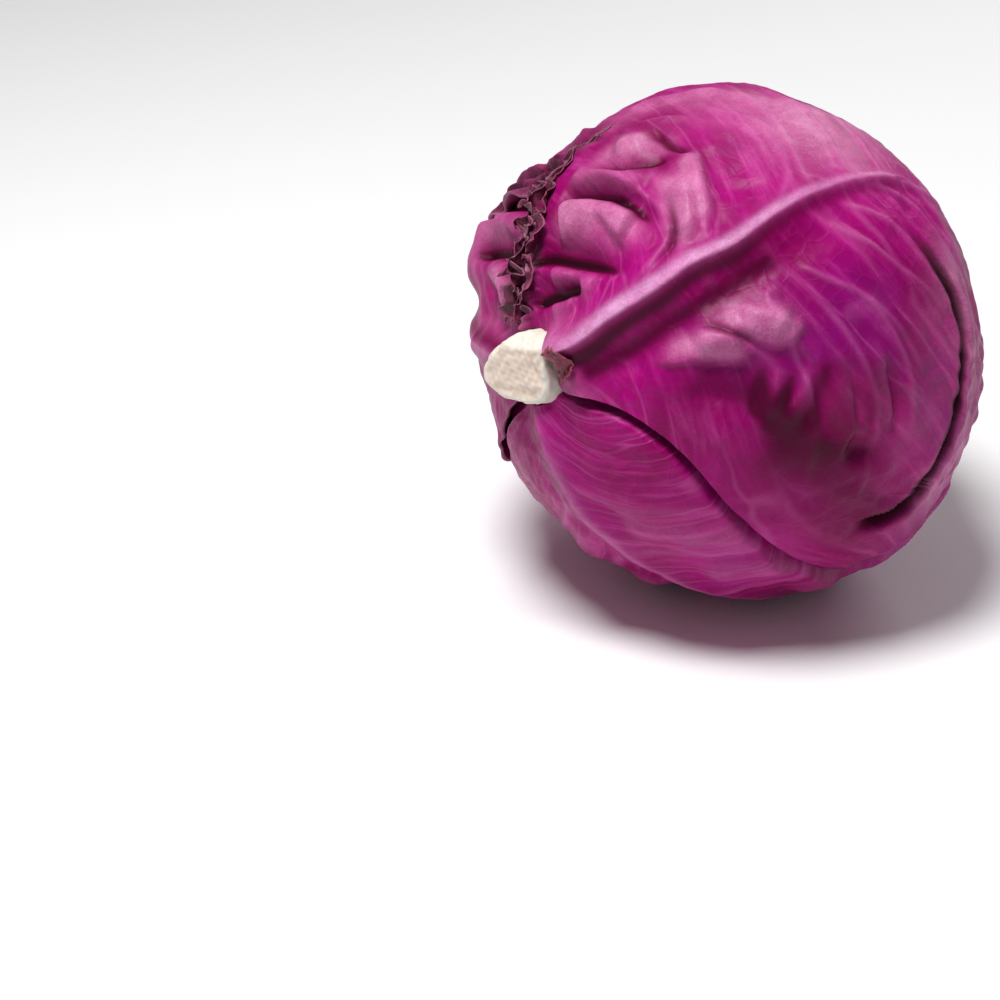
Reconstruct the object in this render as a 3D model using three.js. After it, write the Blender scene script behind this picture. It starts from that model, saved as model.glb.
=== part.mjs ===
// A whole red cabbage head with its cut stem, lying on its side on a table.
// Millimetres, +Z up. The origin is the middle of the small flat spot that the head rests on.
// The stem points to -X and a little upwards, and the crown points to +X.
//
// Every leaf is a thin shell over one round head form. A place on the head is given by two angles:
// polar, from the stem (0) to the crown (180), and round, about the stem's axis
// (0 is the top, 90 is the -Y side, 180 is underneath and -90 is the +Y side).
import * as THREE from "three";

// Driving dimensions
const headRadius = 79; // form of the head at the bottom of the leaf creases
const flatRadius = 17; // flat spot that the head rests on
const stemRise = 8.7; // degrees that the stem points above the horizontal
const leafThickness = 1.1;
const leafSpacing = 1.6; // from one leaf's outer face to the next leaf's
const heartDepth = 8.0; // from the head form down to the dense heart
const stemRadius = 11.6;
const stemRoot = 60.8; // from the head's centre
const stemEnd = 87.8;

const restClearance = 3.0; // outer leaf's loft where it meets the table
const centreHeight = Math.sqrt((headRadius + restClearance) ** 2 - flatRadius ** 2);
const centre = new THREE.Vector3(0, 0, centreHeight);

const degrees = Math.PI / 180;
const stemWay = new THREE.Vector3(-Math.cos(stemRise * degrees), 0, Math.sin(stemRise * degrees));
const topWay = new THREE.Vector3(Math.sin(stemRise * degrees), 0, Math.cos(stemRise * degrees));
const sideWay = new THREE.Vector3(0, -1, 0);

function direction(polar, round) {
  const across = Math.sin(polar * degrees);
  return new THREE.Vector3()
    .addScaledVector(stemWay, Math.cos(polar * degrees))
    .addScaledVector(topWay, across * Math.cos(round * degrees))
    .addScaledVector(sideWay, across * Math.sin(round * degrees));
}

// A leaf that wraps over the crown has the far pole of its own angles past it, at its tip. Seen from the
// stem on a flat map, where a place is a number with two parts, that shift is z / (1 + z / tip).
function shifted(way, tip, share) {
  if (!tip) return way;
  const forward = 1 + way.dot(stemWay);
  const [x, y] = [way.dot(topWay) / forward, way.dot(sideWay) / forward];
  const reach = Math.tan((tip[0] * degrees) / 2) / share;
  const [tx, ty] = [reach * Math.cos(tip[1] * degrees), reach * Math.sin(tip[1] * degrees)];
  const size = tx * tx + ty * ty;
  const [qx, qy] = [1 + (x * tx + y * ty) / size, (y * tx - x * ty) / size];
  const divisor = qx * qx + qy * qy;
  const [wx, wy] = [(x * qx + y * qy) / divisor, (y * qx - x * qy) / divisor];
  const squared = wx * wx + wy * wy;
  return new THREE.Vector3()
    .addScaledVector(stemWay, (1 - squared) / (1 + squared))
    .addScaledVector(topWay, (2 * wx) / (1 + squared))
    .addScaledVector(sideWay, (2 * wy) / (1 + squared));
}

const onHead = (leaf, polar, round) => shifted(direction(polar, round), leaf.tip, 1);
const inLeaf = (leaf, way) => shifted(way, leaf.tip, -1);

function clamp01(x) {
  return Math.min(1, Math.max(0, x));
}

function smooth(low, high, x) {
  const t = clamp01((x - low) / (high - low));
  return t * t * (3 - 2 * t);
}

// A smooth value through a few knots [x, y], which never overshoots them.
function through(knots, x) {
  const last = knots.length - 1;
  if (x <= knots[0][0]) return knots[0][1];
  if (x >= knots[last][0]) return knots[last][1];
  const slopes = knots.slice(1).map((k, i) => (k[1] - knots[i][1]) / (k[0] - knots[i][0]));
  const tangent = (i) => {
    if (i === 0) return slopes[0];
    if (i === last) return slopes[last - 1];
    const [a, b] = [slopes[i - 1], slopes[i]];
    return a * b <= 0 ? 0 : (2 * a * b) / (a + b);
  };
  const i = knots.findIndex((k) => k[0] > x) - 1;
  const width = knots[i + 1][0] - knots[i][0];
  const t = (x - knots[i][0]) / width;
  const rise = knots[i + 1][1] - knots[i][1];
  const [m0, m1] = [tangent(i) * width, tangent(i + 1) * width];
  return knots[i][1] + t * m0 + t * t * (3 * rise - 2 * m0 - m1) + t * t * t * (m0 + m1 - 2 * rise);
}

// A line over the head through points [polar, round], as unit vectors close together.
function lineOver(points, stepsPerSpan = 4) {
  if (points.length === 1) return [direction(...points[0])];
  const control = points.map((p) => direction(...p));
  const curve = new THREE.CatmullRomCurve3(control, false, "centripetal");
  return curve.getPoints((points.length - 1) * stepsPerSpan).map((p) => p.normalize());
}

// The nearest place on a line: distance in mm, side (+1 is left of its travel) and share along it.
function nearest(line, way) {
  if (line.length === 1) return { distance: line[0].distanceTo(way) * headRadius, side: 1, share: 0 };
  let best = { squared: Infinity };
  for (let i = 0; i + 1 < line.length; i++) {
    const along = new THREE.Vector3().subVectors(line[i + 1], line[i]);
    const from = new THREE.Vector3().subVectors(way, line[i]);
    const t = clamp01(from.dot(along) / along.lengthSq());
    const squared = from.clone().addScaledVector(along, -t).lengthSq();
    if (squared < best.squared) {
      best = { squared, side: Math.sign(new THREE.Vector3().crossVectors(line[i], along).dot(from)), i, t };
    }
  }
  return {
    distance: Math.sqrt(best.squared) * headRadius,
    side: best.side || 1,
    share: (best.i + best.t) / (line.length - 1),
  };
}

// Relief on a leaf. at is the line of the fold, rise its height at the line's start and end in mm
// (below 0 for a crease), and reach how far it spreads to the left and right of the line in mm.
const fold = (at, rise, reach) => ({
  line: lineOver(at),
  rise: Array.isArray(rise) ? rise : [rise, rise],
  reach: Array.isArray(reach) ? reach : [reach, reach],
});

function foldHeight(f, way) {
  const { distance, side, share } = nearest(f.line, way);
  const reach = side > 0 ? f.reach[0] : f.reach[1];
  return (f.rise[0] + (f.rise[1] - f.rise[0]) * share) * Math.exp(-((distance / reach) ** 2));
}

// A pleat: the blade ends in a lip along its line, and on the left it drops into a gap and rises to a ridge.
const pleat = (at, lip, drop, gap, ridge) => ({ line: lineOver(at), lip, drop, gap, ridge });
const pleatWall = 3; // mm over which the blade drops into a pleat, and over which it rises out of it

function pleatHeight(p, way) {
  const { distance, side, share } = nearest(p.line, way);
  const deep = smooth(0, 0.2, share) * smooth(0, 0.16, 1 - share);
  if (side < 0) return p.lip * deep * Math.exp(-((distance / 6) ** 2));
  const wall = smooth(0, pleatWall, distance);
  const down = wall * (1 - smooth(p.gap, p.gap + pleatWall, distance));
  const crest = Math.exp(-(((distance - p.gap - 2 * pleatWall) / pleatWall) ** 2));
  return (p.lip * (1 - wall) - p.drop * down + p.ridge * crest) * deep;
}

// Side veins of a leaf that has no detail of its own: pairs that leave the midrib and bend to the crown.
function sideVeins(ribRound, starts, spread, rise) {
  return starts.flatMap((start) =>
    [-1, 1].map((side) =>
      fold(
        [
          [start, ribRound],
          [start + 9, ribRound + side * spread * 0.35],
          [start + 22, ribRound + side * spread * 0.8],
          [start + 36, ribRound + side * spread],
        ],
        [rise, rise * 0.4],
        2.4,
      ),
    ),
  );
}

// Pillows of blade between those veins.
function pillows(ribRound, starts, spread, rise) {
  return starts.flatMap((start) =>
    [-1, 1].map((side) =>
      fold(
        [
          [start + 9, ribRound + side * spread * 0.2],
          [start + 22, ribRound + side * spread * 0.55],
          [start + 33, ribRound + side * spread * 0.75],
        ],
        rise,
        6.5,
      ),
    ),
  );
}

// The front leaf: outermost, with the large rib, deep folds beside the stem and a pleat near the crown.
const frontLeaf = {
  name: "leaf_front",
  depth: 0,
  loft: 3.0,
  polar: [10, 140],
  leftEdge: [
    [10, -42],
    [15, -33],
    [20, -29],
    [33, -31],
    [38, -36],
    [43, -48],
    [46, -58],
    [49, -67],
    [55, -75],
    [64, -74],
    [76, -66],
    [94, -54],
    [112, -42],
    [128, -20],
    [137, 10],
    [140, 30],
  ],
  rightEdge: [
    [10, 96],
    [22, 92],
    [36, 98],
    [55, 114],
    [80, 128],
    [102, 134],
    [120, 121],
    [131, 98],
    [138, 68],
    [140, 50],
  ],
  folds: [
    fold(
      [[11, 54], [16, 55], [26.5, 48], [37, 45], [46, 42], [54, 41.5], [61, 39], [68, 37], [75.5, 35.5]],
      [5.6, 3.0],
      [7, 3.6],
    ),
    fold(
      [[75.5, 35.5], [83, 34.5], [91, 34.5], [102, 35.5], [109.5, 44.5], [115, 65]],
      [2.4, 0.8],
      [4, 3],
    ),
    fold([[11, 46], [11.5, 70], [12, 96]], 4.5, 8),
    fold(
      [[20.5, 74], [30, 62], [39.5, 56], [48.5, 51.5], [58, 48.5], [68, 45], [77, 43]],
      [-3, -1.2],
      [4.5, 7],
    ),
    fold([[33, -12], [36.5, 5], [39.5, 19]], [4.6, 3.6], [7, 9]),
    fold([[36.8, -17], [38, -11], [39.7, -0.5], [41.3, 9], [42.3, 20]], [-5.8, -4.2], [5.4, 2.6]),
    fold([[41.5, -21], [43, -10], [44.5, 0], [45.5, 10.5]], 3, [5, 5.5]),
    fold([[22.6, -28], [23.4, -15], [24.7, 5], [27.2, 18], [30.2, 28]], [-6, -3.2], [5.4, 2.8]),
    fold([[20, -3.5], [22.5, 15.5], [26, 29.5]], [3.2, 2.2], [4.2, 4.5]),
    fold([[13.6, -18], [15.3, -2], [17.7, 12.3], [20.3, 18.7], [22.6, 23]], [-5, -3.6], [4.4, 2.6]),
    fold([[14, 7.5], [17, 18], [19.5, 26.5]], 2, [3.4, 5]),
    fold([[32, 40], [38.5, 35], [43.5, 30.5], [45.5, 21], [45.5, 13.5], [45, 4], [44, -7]], 1.8, 3.2),
    fold([[37, 37.5], [41.5, 35.5], [45, 30.5], [47, 23], [48, 14]], -1.8, 3.4),
    fold([[52, 18], [49.5, 27.5], [46, 35]], 2.6, 5.5),
    fold(
      [[48.5, 37.5], [51.5, 33], [54, 28], [55.5, 22], [57.5, 15.5], [57.5, 9], [57.5, 1]],
      1.5,
      [4, 3.2],
    ),
    fold([[66.5, 13.5], [62, 21.5], [57.5, 30.5]], -2, 7),
    fold([[50.5, -10.5], [53.5, -5], [56, -0.5]], 2.4, 5),
    fold([[46, -16.5], [47.5, -1.5], [53, 6], [56.5, 7.5]], -1.4, 3.2),
    fold([[48.5, -31], [53, -22.5], [58.5, -14], [63.5, -5], [67.5, 2.5]], 1.6, 3.6),
    fold([[62, -28], [69.5, -17.5], [77, -9], [82.5, 0]], 1.6, 4),
    fold([[40.5, 65], [47, 64], [52.5, 65]], 3.6, [6, 5]),
    fold([[50.5, 59.5], [56.5, 61], [62, 64.5]], 3, [5, 6]),
    fold([[43.5, 58.5], [48.5, 62.5], [51.5, 65], [54.5, 69]], -1.6, 3.2),
    fold([[42, 73.5], [49, 76.5], [56.5, 77.5]], -5, [6, 8]),
    fold([[75, 34.5], [76.5, 25.5], [79.5, 12], [82.5, -1.5]], 1.2, 3.4),
    fold([[65, 37], [73, 28], [76.5, 17], [73, 2.5]], 0.9, 3.4),
    fold([[68.5, 52], [78.5, 59.5], [87, 68], [93.5, 79]], 1, 3.6),
    fold([[78, 45], [87.5, 53], [97.5, 61.5]], 1, 3.6),
    fold([[62.5, 72], [65.5, 81], [67, 90.5]], 1.2, 3.6),
    fold([[73, 66.5], [77.5, 75.5], [80.5, 84], [81, 93.5]], 1.2, 3.6),
    fold([[73.5, 92.5], [78.5, 93.5], [83, 92.5]], -2.6, 4),
    fold([[105.5, 63.5], [109, 72.5], [111, 82], [109, 91.5]], 1.4, 3),
    fold([[98, 92]], 2, 16),
    // crumpled folds of the flap on the left
    fold([[44, -56], [42.5, -44], [41, -31]], 2.6, 3),
    fold([[48.5, -68], [45.5, -50], [43.5, -31]], -2.6, 2.8),
    fold([[51.5, -72], [48, -54], [45.5, -32]], 2.4, 2.8),
    fold([[54.5, -72], [51, -52], [48, -30]], -2.4, 2.8),
    fold([[57.5, -72], [54, -50], [50.5, -30]], 2, 2.8),
    fold([[61, -70], [57, -46], [53.5, -28]], -1.8, 2.8),
  ],
  pleats: [
    pleat(
      [[97, 52], [101.5, 60], [105, 75], [101.7, 87], [100.3, 93], [98, 99], [95, 105], [90, 109], [82, 113]],
      1.2,
      5.0,
      4,
      2.0,
    ),
  ],
  ruffle: { width: 8, lift: 2.0, wave: 1.4, pitch: 12 },
  grid: [44, 36],
};

// The left leaf, on the +Y side of the stem, partly under the front leaf.
const leftLeaf = {
  name: "leaf_left",
  depth: 1,
  loft: 3.2,
  tip: [164, 82],
  polar: [10, 162],
  leftEdge: [
    [10, -150],
    [20, -144],
    [40, -146],
    [70, -154],
    [100, -156],
    [125, -150],
    [142, -140],
    [155, -124],
    [162, -104],
  ],
  rightEdge: [
    [10, -24],
    [20, -16],
    [36, -16],
    [46, -38],
    [70, -34],
    [100, -30],
    [125, -38],
    [142, -50],
    [155, -66],
    [162, -86],
  ],
  folds: [
    fold([[11, -104], [26, -101], [45, -99], [70, -97], [100, -95], [138, -90]], [4.2, 1], [6.5, 6.5]),
    ...sideVeins(-98, [26, 46, 66, 88], 46, 1.1),
    ...pillows(-98, [30, 50, 72, 94], 46, 2.6),
    fold([[45, -66], [42, -76]], 3.4, 8),
    fold([[34, -44], [39, -53], [43, -61]], 2.6, 4),
    fold([[24, -39], [27, -46], [34, -62], [40, -72]], [-5.2, -4.4], [2.6, 5.4]),
    fold([[15, -64], [21, -57], [26, -60], [31, -66]], 3.2, [3.8, 4.4]),
    fold([[16, -86], [24, -78], [33, -76]], -2.6, [3.2, 4.4]),
  ],
  pleats: [],
  ruffle: { width: 8, lift: 1.8, wave: 1.3, pitch: 15 },
  grid: [26, 20],
};

// The leaf underneath, which the head lies on.
const underLeaf = {
  name: "leaf_under",
  depth: 2,
  onTable: true,
  loft: 6.2,
  polar: [11.5, 147],
  leftEdge: [
    [11.5, 95],
    [20, 88],
    [29, 86],
    [45, 90],
    [75, 102],
    [105, 110],
    [128, 106],
    [140, 122],
    [147, 146],
  ],
  rightEdge: [
    [10, 226],
    [22, 228],
    [45, 230],
    [75, 226],
    [105, 224],
    [128, 226],
    [140, 214],
    [147, 190],
  ],
  folds: [
    fold([[11, 158], [26, 156], [45, 153], [70, 151], [100, 150], [136, 156]], [4, 1], [6, 6]),
    ...sideVeins(152, [26, 46, 70, 92], 40, 1),
    ...pillows(152, [30, 52, 76, 96], 44, 2.2),
  ],
  pleats: [],
  ruffle: { width: 7, lift: 1.2, wave: 0.9, pitch: 15 },
  grid: [24, 18],
};

// The leaf inside the front one, which wraps right over the crown.
const innerLeaf = {
  name: "leaf_inner",
  depth: 3,
  loft: 3.0,
  tip: [130, 218],
  polar: [12, 168],
  leftEdge: [
    [12, -22],
    [40, -36],
    [80, -42],
    [120, -46],
    [145, -40],
    [160, -24],
    [168, 10],
  ],
  rightEdge: [
    [12, 68],
    [40, 82],
    [80, 100],
    [120, 110],
    [145, 108],
    [160, 96],
    [168, 66],
  ],
  folds: [
    fold([[112, 38], [135, 38], [156, 38], [176, 218], [160, 218]], [2.8, 0.8], 4.5),
    fold([[140, 30], [150, 0], [156, -40]], [1.4, 0.6], 3.6),
    fold([[140, 46], [150, 78], [154, 120]], [1.4, 0.6], 3.6),
    fold([[120, 46], [128, 68], [132, 92]], [1.4, 0.6], 3.6),
    fold([[126, 54], [138, 76]], 1.8, 7),
  ],
  pleats: [],
  ruffle: { width: 6, lift: 1, wave: 0.7, pitch: 15 },
  grid: [24, 18],
};

// A deeper leaf that shows beside the stem, where the front leaf and the leaf underneath part.
const lowLeaf = {
  name: "leaf_low",
  depth: 4,
  loft: 2.2,
  polar: [12, 118],
  leftEdge: [
    [12, 78],
    [40, 76],
    [80, 84],
    [106, 92],
    [118, 112],
  ],
  rightEdge: [
    [12, 142],
    [40, 146],
    [80, 146],
    [106, 140],
    [118, 128],
  ],
  folds: [fold([[12, 106], [26, 105], [45, 106], [80, 110]], [2, 0.8], 5)],
  pleats: [],
  ruffle: { width: 6, lift: 0, wave: 0, pitch: 16 },
  grid: [20, 12],
};

// Outermost first
const leaves = [frontLeaf, leftLeaf, underLeaf, innerLeaf, lowLeaf];

// Round head form: dimpled at the stem, flatter at the upper left and along the crown's upper side, and
// fuller at the left and low on the crown side.
const formSwells = [
  fold([[0, 0]], -7, 17),
  fold([[64, -42]], -2.2, 13),
  fold([[135, 58], [134, 42], [122, 18], [108, 0]], -4.4, 20),
  fold([[104, 126]], 5, 36),
  fold([[47, -66]], 5, 18),
];

function formRadius(way) {
  return headRadius + formSwells.reduce((sum, f) => sum + foldHeight(f, way), 0);
}

// Two angles of a unit vector, with the round angle brought near a given one.
function anglesOf(way, nearRound) {
  const polar = Math.acos(THREE.MathUtils.clamp(way.dot(stemWay), -1, 1)) / degrees;
  let round = Math.atan2(way.dot(sideWay), way.dot(topWay)) / degrees;
  while (round < nearRound - 180) round += 360;
  while (round > nearRound + 180) round -= 360;
  return [polar, round];
}

function outlineOf(leaf) {
  const [start, end] = leaf.polar;
  const steps = 40;
  const at = (i) => start + ((end - start) * i) / steps;
  const place = (knots, polar) => onHead(leaf, polar, through(knots, polar));
  const edge = (knots) => Array.from({ length: steps + 1 }, (_, i) => place(knots, at(i)));
  const [left, right] = [edge(leaf.leftEdge), edge(leaf.rightEdge)];
  return [...left, ...right.reverse(), left[0]];
}

for (const leaf of leaves) leaf.outline = outlineOf(leaf);

// How far a direction lies outside a leaf's outline, in mm. It is below 0 inside.
function outside(leaf, way) {
  const middle = (leaf.leftEdge[1][1] + leaf.rightEdge[1][1]) / 2;
  const [polar, round] = anglesOf(inLeaf(leaf, way), middle);
  const within =
    polar > leaf.polar[0] &&
    polar < leaf.polar[1] &&
    round > through(leaf.leftEdge, polar) &&
    round < through(leaf.rightEdge, polar);
  const { distance } = nearest(leaf.outline, way);
  return within ? -distance : distance;
}

// The table: nothing reaches below it, and each deeper layer stays its own distance above it.
function aboveTable(radius, way, layerDepth) {
  if (way.z >= 0) return radius;
  return Math.min(radius, (centreHeight - layerDepth) / -way.z);
}

const edgeFadeStart = 5; // mm beyond an upper leaf's edge where a lower leaf starts to fill out
const edgeFadeEnd = 15;

function leafRadius(leaf, way) {
  const free = leaves
    .filter((upper) => upper.depth < leaf.depth)
    .reduce((share, upper) => share * smooth(edgeFadeStart, edgeFadeEnd, outside(upper, way)), 1);
  const relief =
    leaf.loft +
    leaf.folds.reduce((sum, f) => sum + foldHeight(f, way), 0) +
    leaf.pleats.reduce((sum, p) => sum + pleatHeight(p, way), 0);
  const lowest = 0.2;
  const held = lowest + Math.log1p(Math.exp((relief - lowest) * 2)) / 2; // never dips into the leaf below
  return formRadius(way) - leaf.depth * leafSpacing + held * free;
}

// Waved margin: a lift along the head's radius and a sway along its surface.
function margin(leaf, polar, fromEdge) {
  const { width, lift, wave, pitch } = leaf.ruffle;
  const [start, end] = leaf.polar;
  const nearTip = smooth(0.8, 1, (polar - start) / (end - start));
  const edge = clamp01(1 - fromEdge / width) ** 1.4 * (1 - nearTip);
  const turns = (polar * degrees * headRadius * 2 * Math.PI) / pitch;
  return {
    out: edge * (lift + wave * Math.sin(turns)),
    sway: edge * wave * 0.6 * Math.cos(turns * 1.3),
  };
}

// Joins an outer and an inner grid of points into one closed shell. Both hold rows of equal length, and
// each cell is split along the same diagonal on both faces, the shorter one on the outer face.
function shell(outer, inner) {
  const rows = outer.length;
  const columns = outer[0].length;
  const points = [...outer.flat(), ...inner.flat()];
  const index = [];
  const at = (i, j, side) => side * rows * columns + i * columns + j;
  const ringOf = (i, j) => [[i, j], [i, j + 1], [i + 1, j + 1], [i + 1, j]];
  const corners = (i, j, side) => ringOf(i, j).map((place) => at(...place, side));
  for (let i = 0; i + 1 < rows; i++) {
    for (let j = 0; j + 1 < columns; j++) {
      const [front, back] = [corners(i, j, 0), corners(i, j, 1)];
      const [a, b, c, d] = front.map((k) => points[k]);
      const split = a.distanceTo(c) <= b.distanceTo(d) ? [[0, 1, 2], [0, 2, 3]] : [[0, 1, 3], [1, 2, 3]];
      for (const [p, q, r] of split) index.push(front[p], front[q], front[r], back[p], back[r], back[q]);
    }
  }
  const quad = (a, b, c, d) => index.push(a, b, c, a, c, d);
  for (let i = 0; i + 1 < rows; i++) {
    quad(at(i, 0, 0), at(i + 1, 0, 0), at(i + 1, 0, 1), at(i, 0, 1));
    quad(at(i + 1, columns - 1, 0), at(i, columns - 1, 0), at(i, columns - 1, 1), at(i + 1, columns - 1, 1));
  }
  for (let j = 0; j + 1 < columns; j++) {
    quad(at(0, j + 1, 0), at(0, j, 0), at(0, j, 1), at(0, j + 1, 1));
    quad(at(rows - 1, j, 0), at(rows - 1, j + 1, 0), at(rows - 1, j + 1, 1), at(rows - 1, j, 1));
  }
  return solid(points, index);
}

function solid(points, index) {
  const geometry = new THREE.BufferGeometry().setFromPoints(points);
  geometry.setIndex(index);
  geometry.computeVertexNormals();
  return geometry;
}

function leafGeometry(leaf) {
  const [rows, columns] = leaf.grid;
  const [start, end] = leaf.polar;
  const outer = [];
  const inner = [];
  for (let i = 0; i <= rows; i++) {
    const polar = start + ((end - start) * i) / rows;
    const [left, right] = [through(leaf.leftEdge, polar), through(leaf.rightEdge, polar)];
    outer.push([]);
    inner.push([]);
    for (let j = 0; j <= columns; j++) {
      const round = left + ((right - left) * j) / columns;
      const way = onHead(leaf, polar, round);
      const perDegree = way.distanceTo(onHead(leaf, polar, round + 1)) * headRadius;
      const { out, sway } = margin(leaf, polar, (round - left) * perDegree);
      const moved = onHead(leaf, polar, round + sway / perDegree);
      const layerDepth = leaf.onTable ? 0 : leaf.depth * leafSpacing;
      const top = aboveTable(leafRadius(leaf, way) + out, moved, layerDepth);
      const bottom = aboveTable(top - leafThickness, moved, layerDepth + leafThickness);
      outer[i].push(moved.clone().multiplyScalar(top).add(centre));
      inner[i].push(moved.clone().multiplyScalar(bottom).add(centre));
    }
  }
  return shell(outer, inner);
}

// The dense heart of tight inner leaves. Under the stem's root its face is flat, up to a rim around it.
const heart = { rows: 22, columns: 28, flatEdge: 12.2, rim: 15, end: 176, below: 0.6, underStem: 0.5 };

function heartGeometry() {
  const { rows, columns, flatEdge, rim, end } = heart;
  const points = [];
  const heartPoint = (polar, round) => {
    const way = direction(polar, round);
    const full = formRadius(way) - heartDepth - heart.below;
    const flat = (stemRoot - heart.underStem) / Math.cos(Math.min(polar, rim) * degrees);
    const radius = flat + (full - flat) * smooth(flatEdge, rim, polar);
    return way.multiplyScalar(aboveTable(radius, way, heartDepth + 1)).add(centre);
  };
  const flatRows = [flatEdge / 2, flatEdge, (flatEdge + rim) / 2, rim];
  const bodyRows = Array.from({ length: rows }, (_, i) => rim + ((end - rim) * (i + 1)) / rows);
  const rings = [...flatRows, ...bodyRows];
  for (const polar of rings) {
    for (let j = 0; j < columns; j++) points.push(heartPoint(polar, (360 * j) / columns));
  }
  const nearPole = points.push(heartPoint(0, 0)) - 1;
  const farPole = points.push(heartPoint(180, 0)) - 1;
  return solid(points, ringIndex(rings.length, columns, nearPole, farPole));
}

// Triangles of a closed body made of rings, from the pole before the first ring to the pole after the last.
function ringIndex(rings, columns, nearPole, farPole) {
  const index = [];
  for (let j = 0; j < columns; j++) {
    const next = (j + 1) % columns;
    index.push(nearPole, next, j);
    for (let i = 0; i + 1 < rings; i++) {
      const [a, b] = [i * columns, (i + 1) * columns];
      index.push(a + j, a + next, b + next, a + j, b + next, b + j);
    }
    const last = (rings - 1) * columns;
    index.push(last + j, last + next, farPole);
  }
  return index;
}

// Knife cuts across the stem: how far out each leaves it, and how it slopes along the top and side ways.
const stemCuts = [
  { out: stemEnd, top: 0.06, side: -0.42 },
  { out: stemEnd + 4.4, top: -0.95, side: -0.16 },
  { out: stemEnd + 4.6, top: -0.5, side: 0.55 },
];
const stemTaper = 0.07; // share of its radius that the stem loses towards its end

function stemGeometry() {
  const columns = 32;
  const sideRings = [1, 0.8, 0.6, 0.35, 0]; // shares of the stem's length
  const capRings = [0.3, 0.6, 0.86]; // shares of its radius
  const points = [];
  const girth = (turn) => 1 + 0.085 * Math.cos(3 * turn) - 0.07 * Math.cos(turn);
  const stemPoint = (turn, along, share) => {
    const radius = stemRadius * girth(turn) * (1 - stemTaper * along ** 2) * share;
    const [top, side] = [Math.cos(turn) * radius, Math.sin(turn) * radius];
    const cut = Math.min(...stemCuts.map((c) => c.out + c.top * top + c.side * side));
    return new THREE.Vector3()
      .addScaledVector(stemWay, stemRoot + (cut - stemRoot) * along)
      .addScaledVector(topWay, top)
      .addScaledVector(sideWay, side)
      .add(centre);
  };
  const ring = (along, share) => {
    for (let j = 0; j < columns; j++) points.push(stemPoint((2 * Math.PI * j) / columns, along, share));
  };
  for (const share of capRings) ring(1, share);
  for (const along of sideRings) ring(along, 1);
  const nearPole = points.push(stemPoint(0, 1, 0)) - 1;
  const farPole = points.push(stemPoint(0, 0, 0)) - 1;
  return solid(points, ringIndex(capRings.length + sideRings.length, columns, nearPole, farPole));
}

// A shrivelled scrap of a leaf that was pulled off, left beside the stem on the front leaf.
const scrap = { polar: 10.8, round: 67, length: 6.5, width: 9.5, thickness: 0.9, rows: 6, columns: 5 };

function scrapGeometry() {
  const { rows, columns, length, width, thickness } = scrap;
  const outer = [];
  const inner = [];
  for (let i = 0; i <= rows; i++) {
    outer.push([]);
    inner.push([]);
    for (let j = 0; j <= columns; j++) {
      const [u, v] = [i / rows, j / columns - 0.5];
      const taper = Math.sin(Math.PI * (0.18 + 0.72 * u)) ** 0.8;
      const polar = scrap.polar + (u * length) / (headRadius * degrees);
      const round = scrap.round + (v * width * taper) / (headRadius * degrees * Math.sin(polar * degrees));
      const way = direction(polar, round);
      const curl = 1.6 + 2.2 * u + 3.2 * v * v + 0.7 * Math.sin(7 * v + 5 * u);
      const bottom = leafRadius(frontLeaf, way) + curl;
      inner[i].push(way.clone().multiplyScalar(bottom).add(centre));
      outer[i].push(way.clone().multiplyScalar(bottom + thickness).add(centre));
    }
  }
  return shell(outer, inner);
}

const purpleSkin = (color) => new THREE.MeshStandardMaterial({ color, roughness: 0.42, metalness: 0 });
const skins = {
  leaf_front: purpleSkin(0x9c1467),
  leaf_left: purpleSkin(0x981a6a),
  leaf_under: purpleSkin(0x8a1c62),
  leaf_inner: purpleSkin(0xa03a80),
  leaf_low: purpleSkin(0xa84a8a),
};
const heartSkin = purpleSkin(0xa8559a);
const stemFlesh = new THREE.MeshStandardMaterial({ color: 0xeadfc8, roughness: 0.6, metalness: 0 });
const dryLeaf = new THREE.MeshStandardMaterial({ color: 0x6a2238, roughness: 0.8, metalness: 0 });

function named(name, geometry, material) {
  const mesh = new THREE.Mesh(geometry, material);
  mesh.name = name;
  return mesh;
}

const cabbage = new THREE.Group();
for (const leaf of leaves) cabbage.add(named(leaf.name, leafGeometry(leaf), skins[leaf.name]));
cabbage.add(named("heart", heartGeometry(), heartSkin));
cabbage.add(named("stem", stemGeometry(), stemFlesh));
cabbage.add(named("leaf_scrap", scrapGeometry(), dryLeaf));

export default cabbage;
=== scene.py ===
import math

import bpy
import numpy as np
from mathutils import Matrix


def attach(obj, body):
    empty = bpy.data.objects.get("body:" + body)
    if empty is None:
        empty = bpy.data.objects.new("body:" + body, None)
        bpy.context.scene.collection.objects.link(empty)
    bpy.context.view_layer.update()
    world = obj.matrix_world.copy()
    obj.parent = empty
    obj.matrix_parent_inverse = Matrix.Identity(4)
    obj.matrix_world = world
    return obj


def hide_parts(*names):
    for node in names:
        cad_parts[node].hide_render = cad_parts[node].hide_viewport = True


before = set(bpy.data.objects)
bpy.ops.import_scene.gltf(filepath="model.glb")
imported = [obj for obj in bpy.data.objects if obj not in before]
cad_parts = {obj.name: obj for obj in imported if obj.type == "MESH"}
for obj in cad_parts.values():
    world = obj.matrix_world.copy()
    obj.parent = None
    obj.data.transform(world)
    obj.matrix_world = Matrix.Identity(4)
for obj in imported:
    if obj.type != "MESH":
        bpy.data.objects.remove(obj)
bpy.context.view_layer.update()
print("frame loaded")

# All shape work is in millimetres, measured from the middle of the head. A place on the head is two angles
# in degrees: polar, from the stem (0) to the crown (180), and around the stem's axis (0 top, 90 near side,
# 180 underneath, -90 far side).

mm = 0.001
detail = 1.0

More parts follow.
